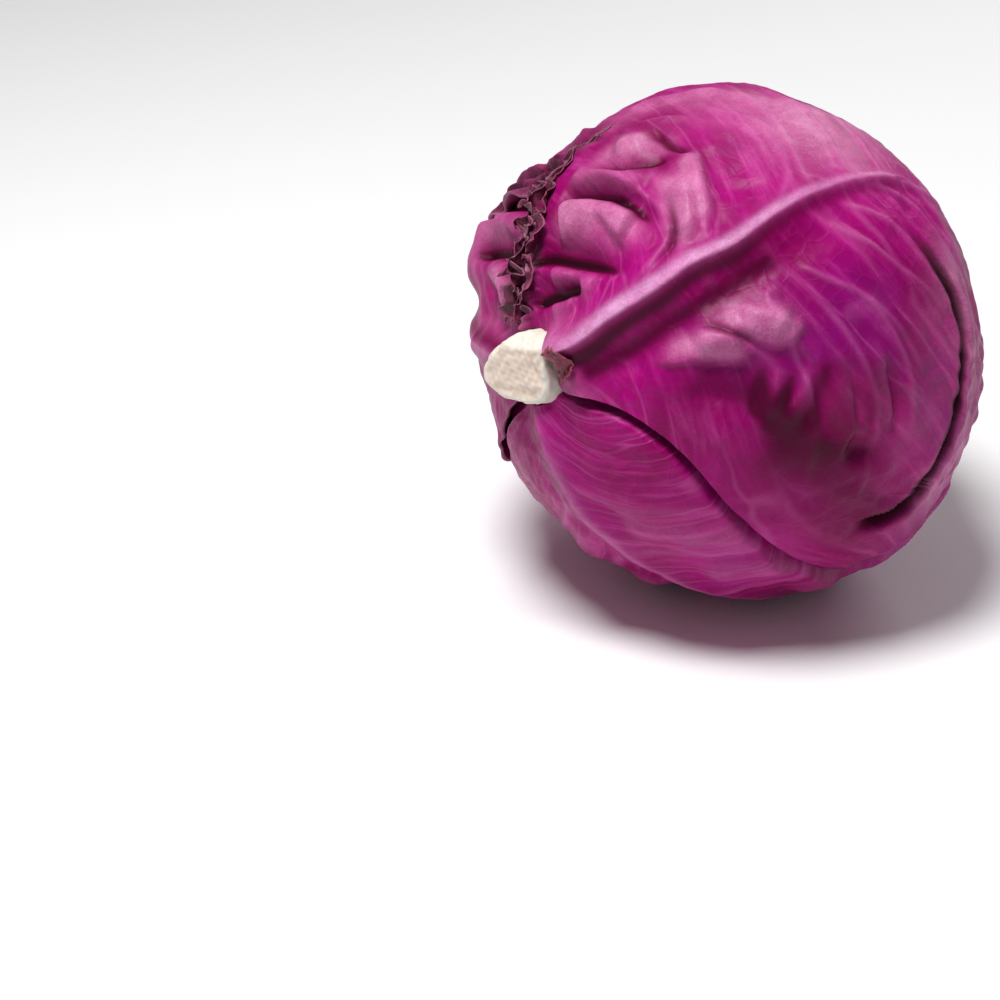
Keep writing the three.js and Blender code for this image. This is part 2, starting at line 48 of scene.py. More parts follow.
head = {
    "radius": 79.0,        # form at the bottom of the leaf creases
    "flatRadius": 17.0,    # flat spot that the head rests on
    "stemRise": 8.7,
    "restLoft": 3.0,
    "leafSpacing": 1.6,
    "leafThickness": 1.1,
    "heartDepth": 8.0,
}
centreHeight = math.sqrt((head["radius"] + head["restLoft"]) ** 2 - head["flatRadius"] ** 2)
headCentre = np.array([0.0, 0.0, centreHeight])

rise = math.radians(head["stemRise"])
stemWay = np.array([-math.cos(rise), 0.0, math.sin(rise)])
topWay = np.array([math.sin(rise), 0.0, math.cos(rise)])
sideWay = np.array([0.0, -1.0, 0.0])
farAway = 99.0  # mm, for a distance that is not measured


# places, lines and folds on the head

def unit(v):
    return v / np.linalg.norm(v, axis=-1, keepdims=True)


def direction(polar, around):
    polar, around = np.radians(polar), np.radians(around)
    across = np.sin(polar)
    parts = (np.cos(polar), across * np.cos(around), across * np.sin(around))
    return sum(np.asarray(part)[..., None] * way for part, way in zip(parts, (stemWay, topWay, sideWay)))


def smooth(low, high, x):
    t = np.clip((x - low) / (high - low), 0, 1)
    return t * t * (3 - 2 * t)


def bell(distance, reach, power=2):
    return np.exp(-(distance / reach) ** power)


def through(knots, x):  # a smooth value through a few knots, which never overshoots them
    knots = np.array(knots, float)
    xs, ys = knots[:, 0], knots[:, 1]
    widths, slopes = np.diff(xs), np.diff(ys) / np.diff(xs)
    tangents = np.concatenate([slopes[:1], np.zeros(len(xs) - 2), slopes[-1:]])
    for i in range(1, len(xs) - 1):
        a, b = slopes[i - 1], slopes[i]
        tangents[i] = 0 if a * b <= 0 else 2 * a * b / (a + b)
    x = np.clip(x, xs[0], xs[-1])
    i = np.clip(np.searchsorted(xs, x, side="right") - 1, 0, len(xs) - 2)
    t, m0, m1 = (x - xs[i]) / widths[i], tangents[i] * widths[i], tangents[i + 1] * widths[i]
    up = ys[i + 1] - ys[i]
    return ys[i] + t * m0 + t * t * (3 * up - 2 * m0 - m1) + t ** 3 * (m0 + m1 - 2 * up)


def shifted(ways, tip, share):  # carries the far pole of a leaf's own angles to its tip, past the crown
    if tip is None:
        return ways
    forward = 1 + ways @ stemWay
    z = (ways @ topWay + 1j * (ways @ sideWay)) / forward
    pole = math.tan(math.radians(tip[0]) / 2) / share * np.exp(1j * math.radians(tip[1]))
    w = z / (1 + z / pole)
    size = np.abs(w) ** 2
    return (((1 - size) / (1 + size))[..., None] * stemWay + (2 * w.real / (1 + size))[..., None] * topWay
            + (2 * w.imag / (1 + size))[..., None] * sideWay)


def lineOver(points, steps=6):  # a curve over the head through points (polar, around)
    control = direction(*np.array(points, float).T)
    if len(points) == 1:
        return control
    control = np.vstack([2 * control[0] - control[1], control, 2 * control[-1] - control[-2]])
    gaps = np.linalg.norm(np.diff(control, axis=0), axis=1) ** 0.5
    places = []
    for i in range(1, len(control) - 2):
        a, b, c, d = control[i - 1:i + 3]
        ga, gb, gc = gaps[i - 1:i + 2]
        m0 = gb * ((b - a) / ga - (c - a) / (ga + gb) + (c - b) / gb)
        m1 = gb * ((c - b) / gb - (d - b) / (gb + gc) + (d - c) / gc)
        for t in np.arange(steps) / steps:
            places.append(b + t * m0 + t * t * (3 * (c - b) - 2 * m0 - m1) + t ** 3 * (m0 + m1 - 2 * (c - b)))
    places.append(control[-2])
    return unit(np.array(places))


def nearest(line, ways, within=None):  # distance in mm, side (+1 is left of travel) and share along the line
    if within is not None:  # only ways near the line are measured
        middle = unit(line.mean(0))
        span = np.max(np.linalg.norm(line - middle, axis=1)) + within / head["radius"]
        near = np.linalg.norm(ways - middle, axis=1) < span
        found = [np.full(len(ways), value) for value in (farAway, 1.0, 0.0)]
        if near.any():
            for whole, part in zip(found, nearest(line, ways[near])):
                whole[near] = part
        return found
    if len(line) == 1:
        distance = np.linalg.norm(ways - line[0], axis=-1) * head["radius"]
        return distance, np.ones(len(ways)), np.zeros(len(ways))
    best = np.full(len(ways), np.inf)
    side, share = np.ones(len(ways)), np.zeros(len(ways))
    for i, (start, end) in enumerate(zip(line[:-1], line[1:])):
        along, apart = end - start, ways - start
        t = np.clip(apart @ along / (along @ along), 0, 1)
        squared = np.sum((apart - t[:, None] * along) ** 2, axis=1)
        closer = squared < best
        best = np.where(closer, squared, best)
        side = np.where(closer, np.sign(apart @ np.cross(start, along)), side)
        share = np.where(closer, (i + t) / (len(line) - 1), share)
    return np.sqrt(best) * head["radius"], np.where(side == 0, 1, side), share


def pair(value):
    return value if isinstance(value, tuple) else (value, value)


def fold(at, rise, reach, sharp=2.0, taper=0.15, kind="pillow"):
    # rise: height at the line's start and end in mm, reach: spread to its left and right,
    # sharp: 1 is a knife crease, taper: share of the line over which each end fades
    return {"line": lineOver(at), "rise": pair(rise), "reach": pair(reach), "sharp": sharp,
            "taper": pair(taper), "kind": kind}


def rib(*shape, **more):
    return fold(*shape, **more, kind="rib")


def vein(*shape, **more):
    return fold(*shape, **more, kind="vein")


def crease(*shape):
    return fold(*shape, kind="crease")


def foldHeight(f, ways):
    distance, side, share = nearest(f["line"], ways, 3.2 * max(f["reach"]) + 2)
    reach = np.where(side > 0, *f["reach"])
    ends = np.ones(len(ways))
    for taper, gone in zip(f["taper"], (share, 1 - share)):
        if taper and len(f["line"]) > 1:
            ends = ends * smooth(0, taper, gone)
    shape = bell(distance, reach, f["sharp"]) * ends
    return (f["rise"][0] + (f["rise"][1] - f["rise"][0]) * share) * shape, distance, ends, share, side


def pleatHeight(p, ways):  # the blade ends in a lip, drops into a gap and rises to a ridge beyond it
    distance, side, share = nearest(p["line"], ways, p["within"])
    startFade, endFade = p["fade"]
    deep = smooth(0, startFade, share) * smooth(0, endFade, 1 - share)
    fallen, gap = smooth(0, p["fall"], distance), p["gap"]
    before = p["lip"] * bell(distance, p["lipWidth"])
    after = (p["lip"] * (1 - fallen) - p["drop"] * fallen * (1 - smooth(gap, gap + p["climb"], distance))
             + p["ridge"] * bell(distance - p["ridgeAt"], p["ridgeWidth"]))
    # painted shadow in the gap beyond the lip and along the lip's edge
    shade = np.where(side > 0, 1 - smooth(*p["shade"], distance), bell(distance, p["lipShade"]))
    return np.where(side < 0, before, after) * deep, shade * deep


def waves(places, size, seed, count=16):  # wanders between about -1 and 1, with bumps of a size in mm
    draw = np.random.default_rng(seed)
    total = 0
    for _ in range(count):
        way = unit(draw.normal(size=3)) * 2 * math.pi / size * draw.uniform(0.7, 1.4)
        total = total + np.sin(places @ way + draw.uniform(0, 2 * math.pi))
    return total / math.sqrt(count)


# the leaves: outline, relief and margin of each

def sideVeins(ribAround, starts, spread, rise):
    return [vein([(start, ribAround), (start + 9, ribAround + reach * 0.35),
                  (start + 22, ribAround + reach * 0.8), (start + 36, ribAround + reach)],
                 (rise, rise * 0.4), 1.5)
            for start in starts for reach in (-spread, spread)]


def pillows(ribAround, starts, spread, rise):
    return [fold([(start + 9, ribAround + reach * 0.2), (start + 22, ribAround + reach * 0.55),
                  (start + 33, ribAround + reach * 0.75)], rise, 6.5)
            for start in starts for reach in (-spread, spread)]


# depth: 0 is the outermost leaf. patches are pale places (wax bloom and painted highlight), and the next list
# holds places of painted shade: a line, its reach in mm and a strength. guides are lines that rows of the
# grid
# follow: share of the rows, then (around, polar) places.
plainLeaf = {"tip": None, "patches": [], "paintedShades": [], "pleats": [], "guides": [], "dryLine": None,
             "veinLean": (0.7, 0.7, 0.7), "fan": 0.12, "veinWidth": 1.5}


frontRib = [(10, 54), (16, 55), (26.5, 48), (37, 45), (46, 42), (54, 41.5), (61, 39), (68, 37),
    (75.5, 35.5), (83, 34.5), (91, 34.5)]
frontFolds = [
    # the midrib: a gentle side up, paler (pale rib and painted highlight), a steep side down with painted
    # shade
    rib(frontRib + [(97, 34.7)], (6.4, 0.8), (7.0, 2.7), 1.8, taper=0),
    vein([(83, 34.5), (91, 34.5), (102, 35.5), (106.5, 38.5), (109.5, 44.5), (111.5, 53.5), (115, 65)],
        (1.4, 0.7), (2.6, 2.0)),
    fold([(20.5, 74), (30, 62), (39.5, 56), (48.5, 51.5), (58, 48.5), (68, 45), (77, 43)], (-3.0, -1.2),
        (4.2, 7)),
    fold([(11, 46), (11.5, 70), (12, 96)], 4.5, 8, taper=0),
    # pillows and deep creases between the stem and the left edge
    fold([(33, -14), (36.5, 5), (39.5, 19)], (4.8, 3.6), (6.5, 9), taper=0.1),
    crease([(36.4, -20), (38, -11), (39.7, -0.5), (41.3, 9), (42.3, 20), (42.2, 27)], (-7.4, -4.0),
        (6.0, 1.6), 1.5, (0.12, 0.5)),
    fold([(41.5, -21), (43, -10), (44.5, 0), (45.5, 10.5)], 3.6, (5, 5.5)),
    crease([(22.3, -31), (23.4, -15), (24.7, 5), (27.2, 18), (30.2, 28), (33, 36)], (-8.4, -3.2),
        (6.2, 1.7), 1.5, (0.08, 0.45)),
    fold([(20, -8), (22.5, 15.5), (26, 29.5)], (3.2, 2.2), (3.6, 4.2)),
    crease([(13.2, -24), (15.3, -2), (17.7, 12.3), (20.3, 18.7), (23.2, 24.5)], (-7.0, -5.4), (4.6, 1.6),
        1.5, (0.1, 0.22)),
    fold([(14, 7.5), (17, 18), (19.5, 26.5)], 2.2, (2.6, 4.2)),
    crease([(34, 28), (35, 13), (35.5, 3.5)], -1.1, (2.4, 1.0), 1.6, 0.3),
    # veins that fan to the upper left
    vein([(32, 40), (38.5, 35), (43.5, 30.5), (45.5, 21), (45.5, 13.5), (45, 4), (44, -7), (42, -15)],
        2.2, 1.7),
    crease([(37, 37.5), (41.5, 35.5), (45, 30.5), (47, 23), (48, 14)], -1.9, (2.6, 1.5), 1.6, 0.4),
    fold([(53.5, 14), (51.5, 22), (49, 29), (45.5, 36)], 3.6, (2.4, 5.6), 2.4, 0.25),
    fold([(50.5, 35), (53.8, 28), (56.2, 21), (58.8, 14), (60.8, 7)], 2.2, (5.0, 1.1), 2.0, 0.3),
    crease([(61, -7), (58.8, 0), (58.3, 7), (60.2, 12)], -2.4, (1.1, 2.6), 1.5, 0.3),
    crease([(70.5, 8), (69, 14), (68.2, 20)], -0.9, (1.0, 2.0), 1.6, 0.3),
    vein([(48.5, 37.5), (51.5, 33), (54, 28), (55.5, 22), (57.5, 15.5), (57.5, 9), (57.5, 1)],
        1.7, (3.2, 1.5)),
    fold([(66.5, 13.5), (62, 21.5), (57.5, 30.5)], -1.5, 7, taper=0.3),
    fold([(50.5, -10.5), (53.5, -5), (56, -0.5)], 2.8, (5, 4.4), taper=0.3),
    crease([(46, -16.5), (47.5, -1.5), (53, 6), (56.5, 7.5)], -2.2, (3.0, 1.4), 1.6, 0.3),
    vein([(48.5, -31), (53, -22.5), (58.5, -14), (63.5, -5), (67.5, 2.5)], 1.8, 1.7),
    crease([(51, -26), (57, -17), (63, -9), (69, -2)], -1.6, (3.4, 1.6), 1.6, 0.3),
    fold([(62, -28), (69.5, -17.5), (77, -9), (82.5, 0)], 1.6, (2, 4), taper=0.3),
    vein([(75, 34.5), (75, 31), (76.5, 25.5), (78, 19.5), (79.5, 12), (81, 5.5), (82.5, -1.5), (86, -14)],
        1.2, 1.3),
    vein([(65, 37), (70, 32), (73, 28), (75, 23.5), (76.5, 17), (75.5, 9), (73, 2.5), (69.5, -3.5)],
        1.0, 1.4),
    vein([(93, 34.5), (95, 31), (96.5, 26.5), (98, 22), (99, 16.5), (101, 6)], 0.9, 1.0),
    vein([(84, 34.5), (87, 27), (89.5, 18), (91, 8), (93, -4), (97, -16)], 0.7, 1.0),
    # pillows, painted paler (wax bloom and painted highlight), and the hollow under the rib, with painted
    # shade
    fold([(40.5, 65), (47, 64), (52.5, 65)], 4.6, (5.6, 4.2), taper=0.3),
    fold([(50.5, 59.5), (56.5, 61), (62, 64.5)], 4.0, (4.6, 5.0), taper=0.3),
    crease([(40, 58.5), (46, 60.8), (51, 64.5), (55.5, 68.5)], -1.9, (2.4, 1.0), 1.5, 0.4),
    fold([(48.5, 61), (54, 65.5), (58.7, 67.5), (63, 65), (64, 60.5)], 1.7, (5.5, 1.1), 2.0, 0.25),
    fold([(30, 67), (35.2, 70), (42.2, 69.5), (46.8, 71.2), (51, 69.5), (55, 68)], 1.7, (4.5, 1.2),
        2.0, 0.25),
    fold([(46, 57.5), (52, 57.5), (57, 60), (60, 63)], 0.7, (0.7, 1.6), 1.7, 0.3),
    fold([(58, 73), (57.4, 80), (56.5, 87)], 1.6, (3.6, 1.1), 2.0, 0.3),
    fold([(65.3, 72), (63.9, 78), (61.5, 83), (59, 89)], 1.7, (3.6, 1.1), 2.0, 0.3),
    fold([(70.3, 69), (73, 76), (74.6, 82), (74.8, 89), (74, 96)], 1.5, (1.1, 4.0), 2.0, 0.3),
    fold([(79.4, 67), (82.4, 76), (84, 83), (84, 91)], 1.3, (1.1, 4.0), 2.0, 0.3),
    fold([(57, 54), (61.5, 55)], 1.3, 3.2, taper=0.3),
    fold([(40, 73), (49, 76.5), (58, 78)], -5.2, (6, 8), taper=0.35),
    # veins that fan to the lower right
    vein([(66, 48), (68.5, 52), (72.5, 55.5), (78.5, 59.5), (82.5, 63), (87, 68), (90.5, 73.5), (93.5, 79)],
        1.1, 1.3),
    vein([(75, 41), (78, 45), (83.5, 49), (87.5, 53), (93, 57.5), (97.5, 61.5), (102.5, 67)], 1.0, 1.2),
    vein([(80, 38), (86.5, 42.5), (93, 47.5), (98.5, 52.5)], 0.9, 1.1),
    vein([(86, 35), (95, 38), (102, 42.5), (105.5, 49), (109.5, 57), (112, 63.5)], 0.9, 1.1),
    vein([(55, 50), (59, 60), (62.5, 72), (65.5, 81), (67, 90.5), (68, 104)], 1.4, 1.6),
    vein([(66, 55), (73, 66.5), (77.5, 75.5), (80.5, 84), (81, 93.5), (80, 108)], 1.3, 1.5),
    vein([(78.5, 59.5), (81.5, 63), (87.5, 74), (90, 83), (89.5, 92)], 1.1, 1.4),
    fold([(61, 66), (66, 76), (69, 88)], -2.2, (1.8, 4.2), 1.7, 0.3),
    fold([(71, 71), (75, 80), (76, 90)], -2.0, (1.7, 3.8), 1.7, 0.3),
    fold([(82, 72), (86, 82), (86, 92)], -1.7, (1.6, 3.6), 1.7, 0.3),
    fold([(73.5, 92.5), (78.5, 93.5), (83, 92.5)], -2.6, 4.0, taper=0.3),
    fold([(68, 76), (74, 84), (77, 92)], 1.2, 4.5, taper=0.3),
    # ribs of the band beyond the pleat
    vein([(105.5, 59), (109.5, 66), (112.5, 75), (112.5, 83), (110.5, 92), (108, 101), (100, 112)],
        1.3, 1.7),
    vein([(108, 52), (113, 62), (117, 73), (118, 84), (116, 94), (112, 104)], 1.1, 1.6),
    vein([(112, 48), (118, 60), (122, 74), (122, 88), (118, 100)], 0.9, 1.5),
    fold([(98, 92)], 2.0, 16),
    # crumpled folds of the dried flap at the left edge
    fold([(44, -56), (42.5, -44), (41, -31)], 3.2, (1.7, 2.4), 1.7, (0, 0.1)),
    crease([(47.5, -66), (46.5, -54), (44.5, -42), (43.5, -31)], -4.4, (2.6, 1.3), 1.5, (0.12, 0.12)),
    fold([(50.5, -66), (48.5, -52), (46.2, -41), (45.5, -31)], 3.2, (1.6, 2.4), 1.7, (0.3, 0.1)),
    crease([(54, -74), (51.5, -62), (50.5, -47), (47.6, -30)], (-2.4, -4.6), (2.4, 1.3), 1.5, (0.2, 0.12)),
    fold([(57, -62), (53, -47), (50.2, -30)], 2.8, (1.5, 2.6), 1.7, (0.35, 0.1)),
    crease([(61.5, -70), (60, -56), (55, -41), (53, -27)], (-1.4, -3.6), (2.6, 1.4), 1.5, (0.3, 0.15)),
    fold([(66, -56), (62.5, -38), (57, -25)], (1.2, 2.2), (1.8, 2.6), 1.7, 0.3),
    crease([(45, -46), (49.5, -41), (54, -44)], -2.2, (1.1, 2.0), 1.5, 0.2),
    crease([(47, -58), (52, -60), (57, -66)], -2.0, (1.1, 2.2), 1.5, 0.2),
]

frontLeaf = plainLeaf | {
    "name": "leaf_front", "depth": 0, "loft": 3.0, "polar": (8.2, 140), "seed": 3,
    "leftEdge": [(10, -42), (15, -33), (20, -29), (33, -31), (38, -36), (43, -48), (46, -58), (49, -67),
        (55, -75), (64, -74), (76, -66), (94, -54), (112, -42), (128, -20), (137, 10), (140, 30)],
    "rightEdge": [(10, 96), (22, 92), (36, 98), (55, 114), (80, 128), (102, 134), (120, 121), (131, 98),
        (138, 68), (140, 50)],
    "rib": frontRib + [(112, 37), (140, 40)],
    "folds": frontFolds,
    # pale places: wax bloom with painted highlight
    "patches": [([(50, 57), (55, 61), (60, 63)], 4.0, 1.0), ([(38, 65), (44, 66), (49, 67.5)], 3.4, 1.0),
        ([(50.5, 15), (48.5, 24), (46, 32)], 3.4, 1.0), ([(56, 14), (54, 21), (52, 28)], 2.8, 0.9),
        ([(50, -10), (53, -4), (56, 1)], 5.0, 0.8), ([(33, -10), (36, 6), (38, 18)], 5.0, 0.7),
        ([(84, 16), (94, 10), (106, 14)], 15.0, 0.75), ([(88, 92), (97, 82), (96, 70)], 9.0, 0.2),
        ([(107, 58), (113, 74), (112, 92), (104, 106)], 10.0, 1.0),
        ([(74, 0), (84, 12), (88, 24)], 14.0, 0.3), ([(62, -22), (74, -8), (84, 2)], 6.0, 0.4)],
    # painted shade under the rib, in the hollows and between the lower veins
    "paintedShades": [([(18, 74), (28, 63), (38, 56), (50, 51), (60, 47.5)], 4.2, 0.9),
        ([(40, 79), (52, 80), (62, 87)], 8.0, 0.7), ([(55, 74), (54, 84)], 2.4, 0.5),
        ([(61, 76), (57.5, 87)], 2.4, 0.6), ([(68, 74), (66, 86)], 2.6, 0.5),
        ([(78, 74), (79.5, 86)], 2.2, 0.35), ([(60, 96), (72, 100), (86, 108)], 12.0, 0.7),
        ([(70, 76), (74, 86)], 5.0, 0.5), ([(70, 92), (82, 94)], 5.5, 0.45),
        ([(50, 4), (54, 8)], 3.0, 0.4)],
    "pleats": [{
        "line": lineOver([(92.5, 46.5), (97, 52), (101.5, 60), (104.5, 69), (105, 75), (103.7, 80.5),
            (101.7, 87), (100.3, 93), (98, 99), (95, 105.5), (90, 108.8), (86, 110.5), (82, 113)]),
        "lip": 1.2, "lipWidth": 6, "drop": 5.4, "fall": 0.9, "gap": 2.6, "climb": 3.0, "ridge": 2.0,
        "ridgeAt": 6.8, "ridgeWidth": 2.8, "shade": (3.8, 5.8), "lipShade": 0.8, "fade": (0.2, 0.16),
        "within": 24,
    }],
    "guides": [(0.09, [(-14, 14.5), (11.5, 17.5), (18.5, 20), (25, 22.5)]),
        (0.19, [(-24, 23.5), (-0.5, 24.5), (14.5, 26), (29, 29)]),
        (0.31, [(-16, 37.5), (-2.5, 39.5), (5.5, 40.5), (14, 41.5), (24, 42)]),
        (0.70, [(49, 92), (56.5, 97), (61.5, 100.5), (68.5, 103), (76, 105), (80.5, 103.5), (86.5, 101),
            (91, 98), (98, 99), (103, 96), (105.5, 88.5), (111, 86), (117, 83)])],
    "ruffle": {"width": 8, "lift": 1.6, "wave": 1.2, "pitch": 9.5, "calmPast": (36, 44), "calm": 0.3},
    "dryLine": [(9, -33), (20, -29), (33, -29), (39, -30), (47, -29), (56, -24)],
    "dryReach": 3.0, "veinLean": (0.2, 0.25, 0.7), "fan": 0.34, "veinWidth": 0.95, "rows": 289,
    "columns": 257,
}


leftRib = [(10, -104), (26, -101), (45, -99), (70, -97), (100, -95)]
leftFolds = [
    rib(leftRib + [(138, -90)], (4.4, 1), (6.5, 5), taper=0),
    *sideVeins(-98, (26, 46, 66, 88), 46, 1.1),
    *pillows(-98, (30, 50, 72, 94), 46, 2.4),
    fold([(45, -66), (42, -76)], 3.4, 8, taper=0),
    fold([(34, -44), (39, -53), (43, -61)], 2.6, (4, 4), taper=0.2),
    crease([(23, -37), (27, -46), (34, -62), (41, -74)], (-7.6, -6.0), (1.6, 6.0), 1.5, 0.12),
    fold([(15, -64), (21, -57), (26, -60), (31, -66)], 3.6, (3.4, 4.4), taper=0.2),
    crease([(12, -50), (18, -46), (23, -44)], -3.6, (2.4, 3.4), 1.6, 0.2),
    fold([(16, -86), (24, -78), (33, -76)], -3.2, (2.6, 4.4), 1.6, 0.2),
    fold([(14, -72), (20, -80), (30, -86)], -1.8, 3.2),
    vein([(30, -40), (34, -47), (40, -56)], 1.0, 1.6),
]

leftLeaf = plainLeaf | {
    "name": "leaf_left", "depth": 1, "loft": 3.2, "tip": (164, 82), "polar": (8.6, 162), "seed": 11,
    "leftEdge": [(10, -150), (20, -144), (40, -146), (70, -154), (100, -156), (125, -150), (142, -140),
        (155, -124), (162, -104)],
    "rightEdge": [(10, -24), (20, -16), (36, -16), (46, -38), (70, -34), (100, -30), (125, -38), (142, -50),
        (155, -66), (162, -86)],
    "rib": leftRib + [(138, -92), (162, -95)],
    "folds": leftFolds,
    # pale places: wax bloom with painted highlight
    "patches": [([(15, -62), (20, -56), (25, -59)], 2.2, 0.8), ([(38, -58), (42, -66)], 3.5, 0.5),
        ([(14, -84), (22, -94), (34, -104)], 12.0, 0.35)],
    # painted shade beside a crease
    "paintedShades": [([(14, -46), (20, -43), (26, -42)], 3.0, 0.5)],
    "ruffle": {"width": 8, "lift": 1.5, "wave": 1.0, "pitch": 15, "calmPast": (36, 20), "calm": 0.0},
    "rows": 211, "columns": 171,
}


underRib = [(10, 158), (26, 156), (45, 153), (70, 151), (100, 150)]
underFolds = [
    rib(underRib + [(136, 156)], (4.2, 1), (6, 5), taper=0),
    *sideVeins(152, (26, 46, 70, 92), 40, 1.0),
    *pillows(152, (30, 52, 76, 96), 44, 2.2),
]

underLeaf = plainLeaf | {
    "name": "leaf_under", "depth": 2, "loft": 6.2, "polar": (8.8, 147), "seed": 17,
    "leftEdge": [(10, 96), (20, 88), (29, 86), (45, 90), (75, 102), (105, 110), (128, 106), (140, 122),
        (147, 146)],
    "rightEdge": [(10, 226), (22, 228), (45, 230), (75, 226), (105, 224), (128, 226), (140, 214),
        (147, 190)],
    "rib": underRib + [(136, 160), (147, 168)],
    "folds": underFolds,
    "ruffle": {"width": 7, "lift": 1.0, "wave": 0.7, "pitch": 15, "calmPast": (36, 20), "calm": 0.0},
    "rows": 181, "columns": 151,
}


innerFolds = [
    rib([(112, 38), (135, 38), (156, 38), (176, 218), (160, 218)], (2.8, 0.8), (5, 4)),
    vein([(140, 30), (150, 0), (156, -40)], (1.4, 0.6), 1.8),
    vein([(140, 46), (150, 78), (154, 120)], (1.4, 0.6), 1.8),
    vein([(120, 46), (128, 68), (132, 92)], (1.4, 0.6), 1.8),
    vein([(158, 10), (166, -30), (164, -90)], (1.2, 0.5), 1.8),
    vein([(158, 66), (164, 120), (158, 160)], (1.2, 0.5), 1.8),
    fold([(126, 54), (138, 76)], 1.8, 7, taper=0),
]

innerLeaf = plainLeaf | {
    "name": "leaf_inner", "depth": 3, "loft": 3.0, "tip": (130, 218), "polar": (12, 168), "seed": 23,
    "leftEdge": [(12, -22), (40, -36), (80, -42), (120, -46), (145, -40), (160, -24), (168, 10)],
    "rightEdge": [(12, 68), (40, 82), (80, 100), (120, 110), (145, 108), (160, 96), (168, 66)],
    "rib": [(12, 34), (60, 36), (112, 38), (168, 38)],
    "folds": innerFolds,
    "ruffle": {"width": 6, "lift": 1.0, "wave": 0.7, "pitch": 13, "calmPast": (36, 20), "calm": 0.0},
    "rows": 181, "columns": 151,
}


lowFolds = [
    rib([(12, 106), (26, 105), (45, 106), (80, 110)], (2, 0.8), 5),
    *sideVeins(105, (24, 40, 58), 34, 0.9),
]

lowLeaf = plainLeaf | {
    "name": "leaf_low", "depth": 4, "loft": 4.4, "polar": (12, 118), "seed": 29,
    "leftEdge": [(12, 78), (40, 76), (80, 84), (106, 92), (118, 112)],
    "rightEdge": [(12, 142), (40, 146), (80, 146), (106, 140), (118, 128)],
    "rib": [(12, 106), (26, 105), (45, 106), (80, 112), (118, 120)],
    "folds": lowFolds,
    "ruffle": {"width": 6, "lift": 0.0, "wave": 0.0, "pitch": 16, "calmPast": (36, 20), "calm": 0.0},
    "rows": 101, "columns": 61,
}

leaves = [frontLeaf, leftLeaf, underLeaf, innerLeaf, lowLeaf]  # outermost first

formSwells = [fold([(0, 0)], -7, 17), fold([(64, -42)], -2.2, 13), fold([(104, 126)], 5, 36),
              fold([(47, -66)], 5, 18), fold([(135, 58), (134, 42), (122, 18), (108, 0)], -4.4, 20, taper=0)]


def formRadius(ways):
    return head["radius"] + sum(foldHeight(f, ways)[0] for f in formSwells)


def onHead(leaf, polar, around):
    return shifted(direction(polar, around), leaf["tip"], 1)


for leaf in leaves:
    spans = np.linspace(*leaf["polar"], 41)
    left, right = (onHead(leaf, spans, through(leaf[edge], spans)) for edge in ("leftEdge", "rightEdge"))
    leaf["outline"] = np.vstack([left, right[::-1], left[:1]])


def outside(leaf, ways):  # how far each way lies outside a leaf's outline in mm, below 0 inside
    own = shifted(ways, leaf["tip"], -1)
    middle = (leaf["leftEdge"][1][1] + leaf["rightEdge"][1][1]) / 2
    polar = np.degrees(np.arccos(np.clip(own @ stemWay, -1, 1)))
    around = np.degrees(np.arctan2(own @ sideWay, own @ topWay))
    around = middle + (around - middle + 180) % 360 - 180
    within = ((polar > leaf["polar"][0]) & (polar < leaf["polar"][1])
              & (around > through(leaf["leftEdge"], polar)) & (around < through(leaf["rightEdge"], polar)))
    distance = nearest(leaf["outline"], ways)[0]
    return np.where(within, -distance, distance)


def aboveTable(radius, ways, layerDepth):
    down = np.maximum(-ways[:, 2], 1e-6)
    return np.where(ways[:, 2] >= 0, radius, np.minimum(radius, (centreHeight - layerDepth) / down))


surface = {  # lengths in mm
    "fullBeyond": (0.6, 4.6),  # past an upper leaf's edge, over which a lower leaf fills out
    "veinShare": 0.62,         # share of a side vein's rise that stands out of the skin
    "fullRib": 6.0,            # rise of a rib with the full pale crest (pale rib and painted highlight) and full painted shade below
    "fullCrease": 5.0,         # depth of a crease that gets the full painted shade
    "swell": ((0.38, 26), (0.17, 9), (0.06, 4)),  # height and size of the small swells
    "wrinkle": (0.3, 13),      # the same, beside the stem
    "hug": (0.85, 15),         # share of the relief that lies down at an edge, and how far in it starts
    "rest": 0.2,               # least height over the leaf below
}
nearStemTo = (0.35, 1.2)  # how far each change beside the stem reaches, as a share of the radius
pastStemFrom = (0.85, 1.3)
# distance from the stem, as a share of the radius, over which the rib's pale crest (pale rib and painted
# highlight) comes to full strength
ribPalesOver = (0.15, 0.5)


def foldMasks(f, distance, ends, share, side, veinWidth):  # colour masks of one fold: name and strength. A rib gets a pale crest on its upper side (pale rib and painted highlight) and painted shade below it, and a crease gets painted shade.
    if f["kind"] == "vein":
        return {"vein": bell(distance, veinWidth) * ends * (1 - 0.5 * share)}
    if f["kind"] == "rib":
        full = min(1, f["rise"][0] / surface["fullRib"])
        crest = bell(distance, np.where(side > 0, 5.6 - 3.0 * share, 0.9)) * (1 - 0.6 * share)
        below = np.where(side < 0, bell(distance - 3.0, 2.2), 0) * (1 - 0.75 * share)
        return {"rib": crest * full ** 2, "dark": below * full}
    if f["kind"] == "crease":
        depth = min(1, -min(f["rise"]) / surface["fullCrease"])
        wide = 0.6 * np.where(side > 0, *f["reach"]) + 0.8
        return {"crease": bell(distance, 1.5) * ends * depth, "dark": bell(distance, wide) * ends * depth}
    return {}


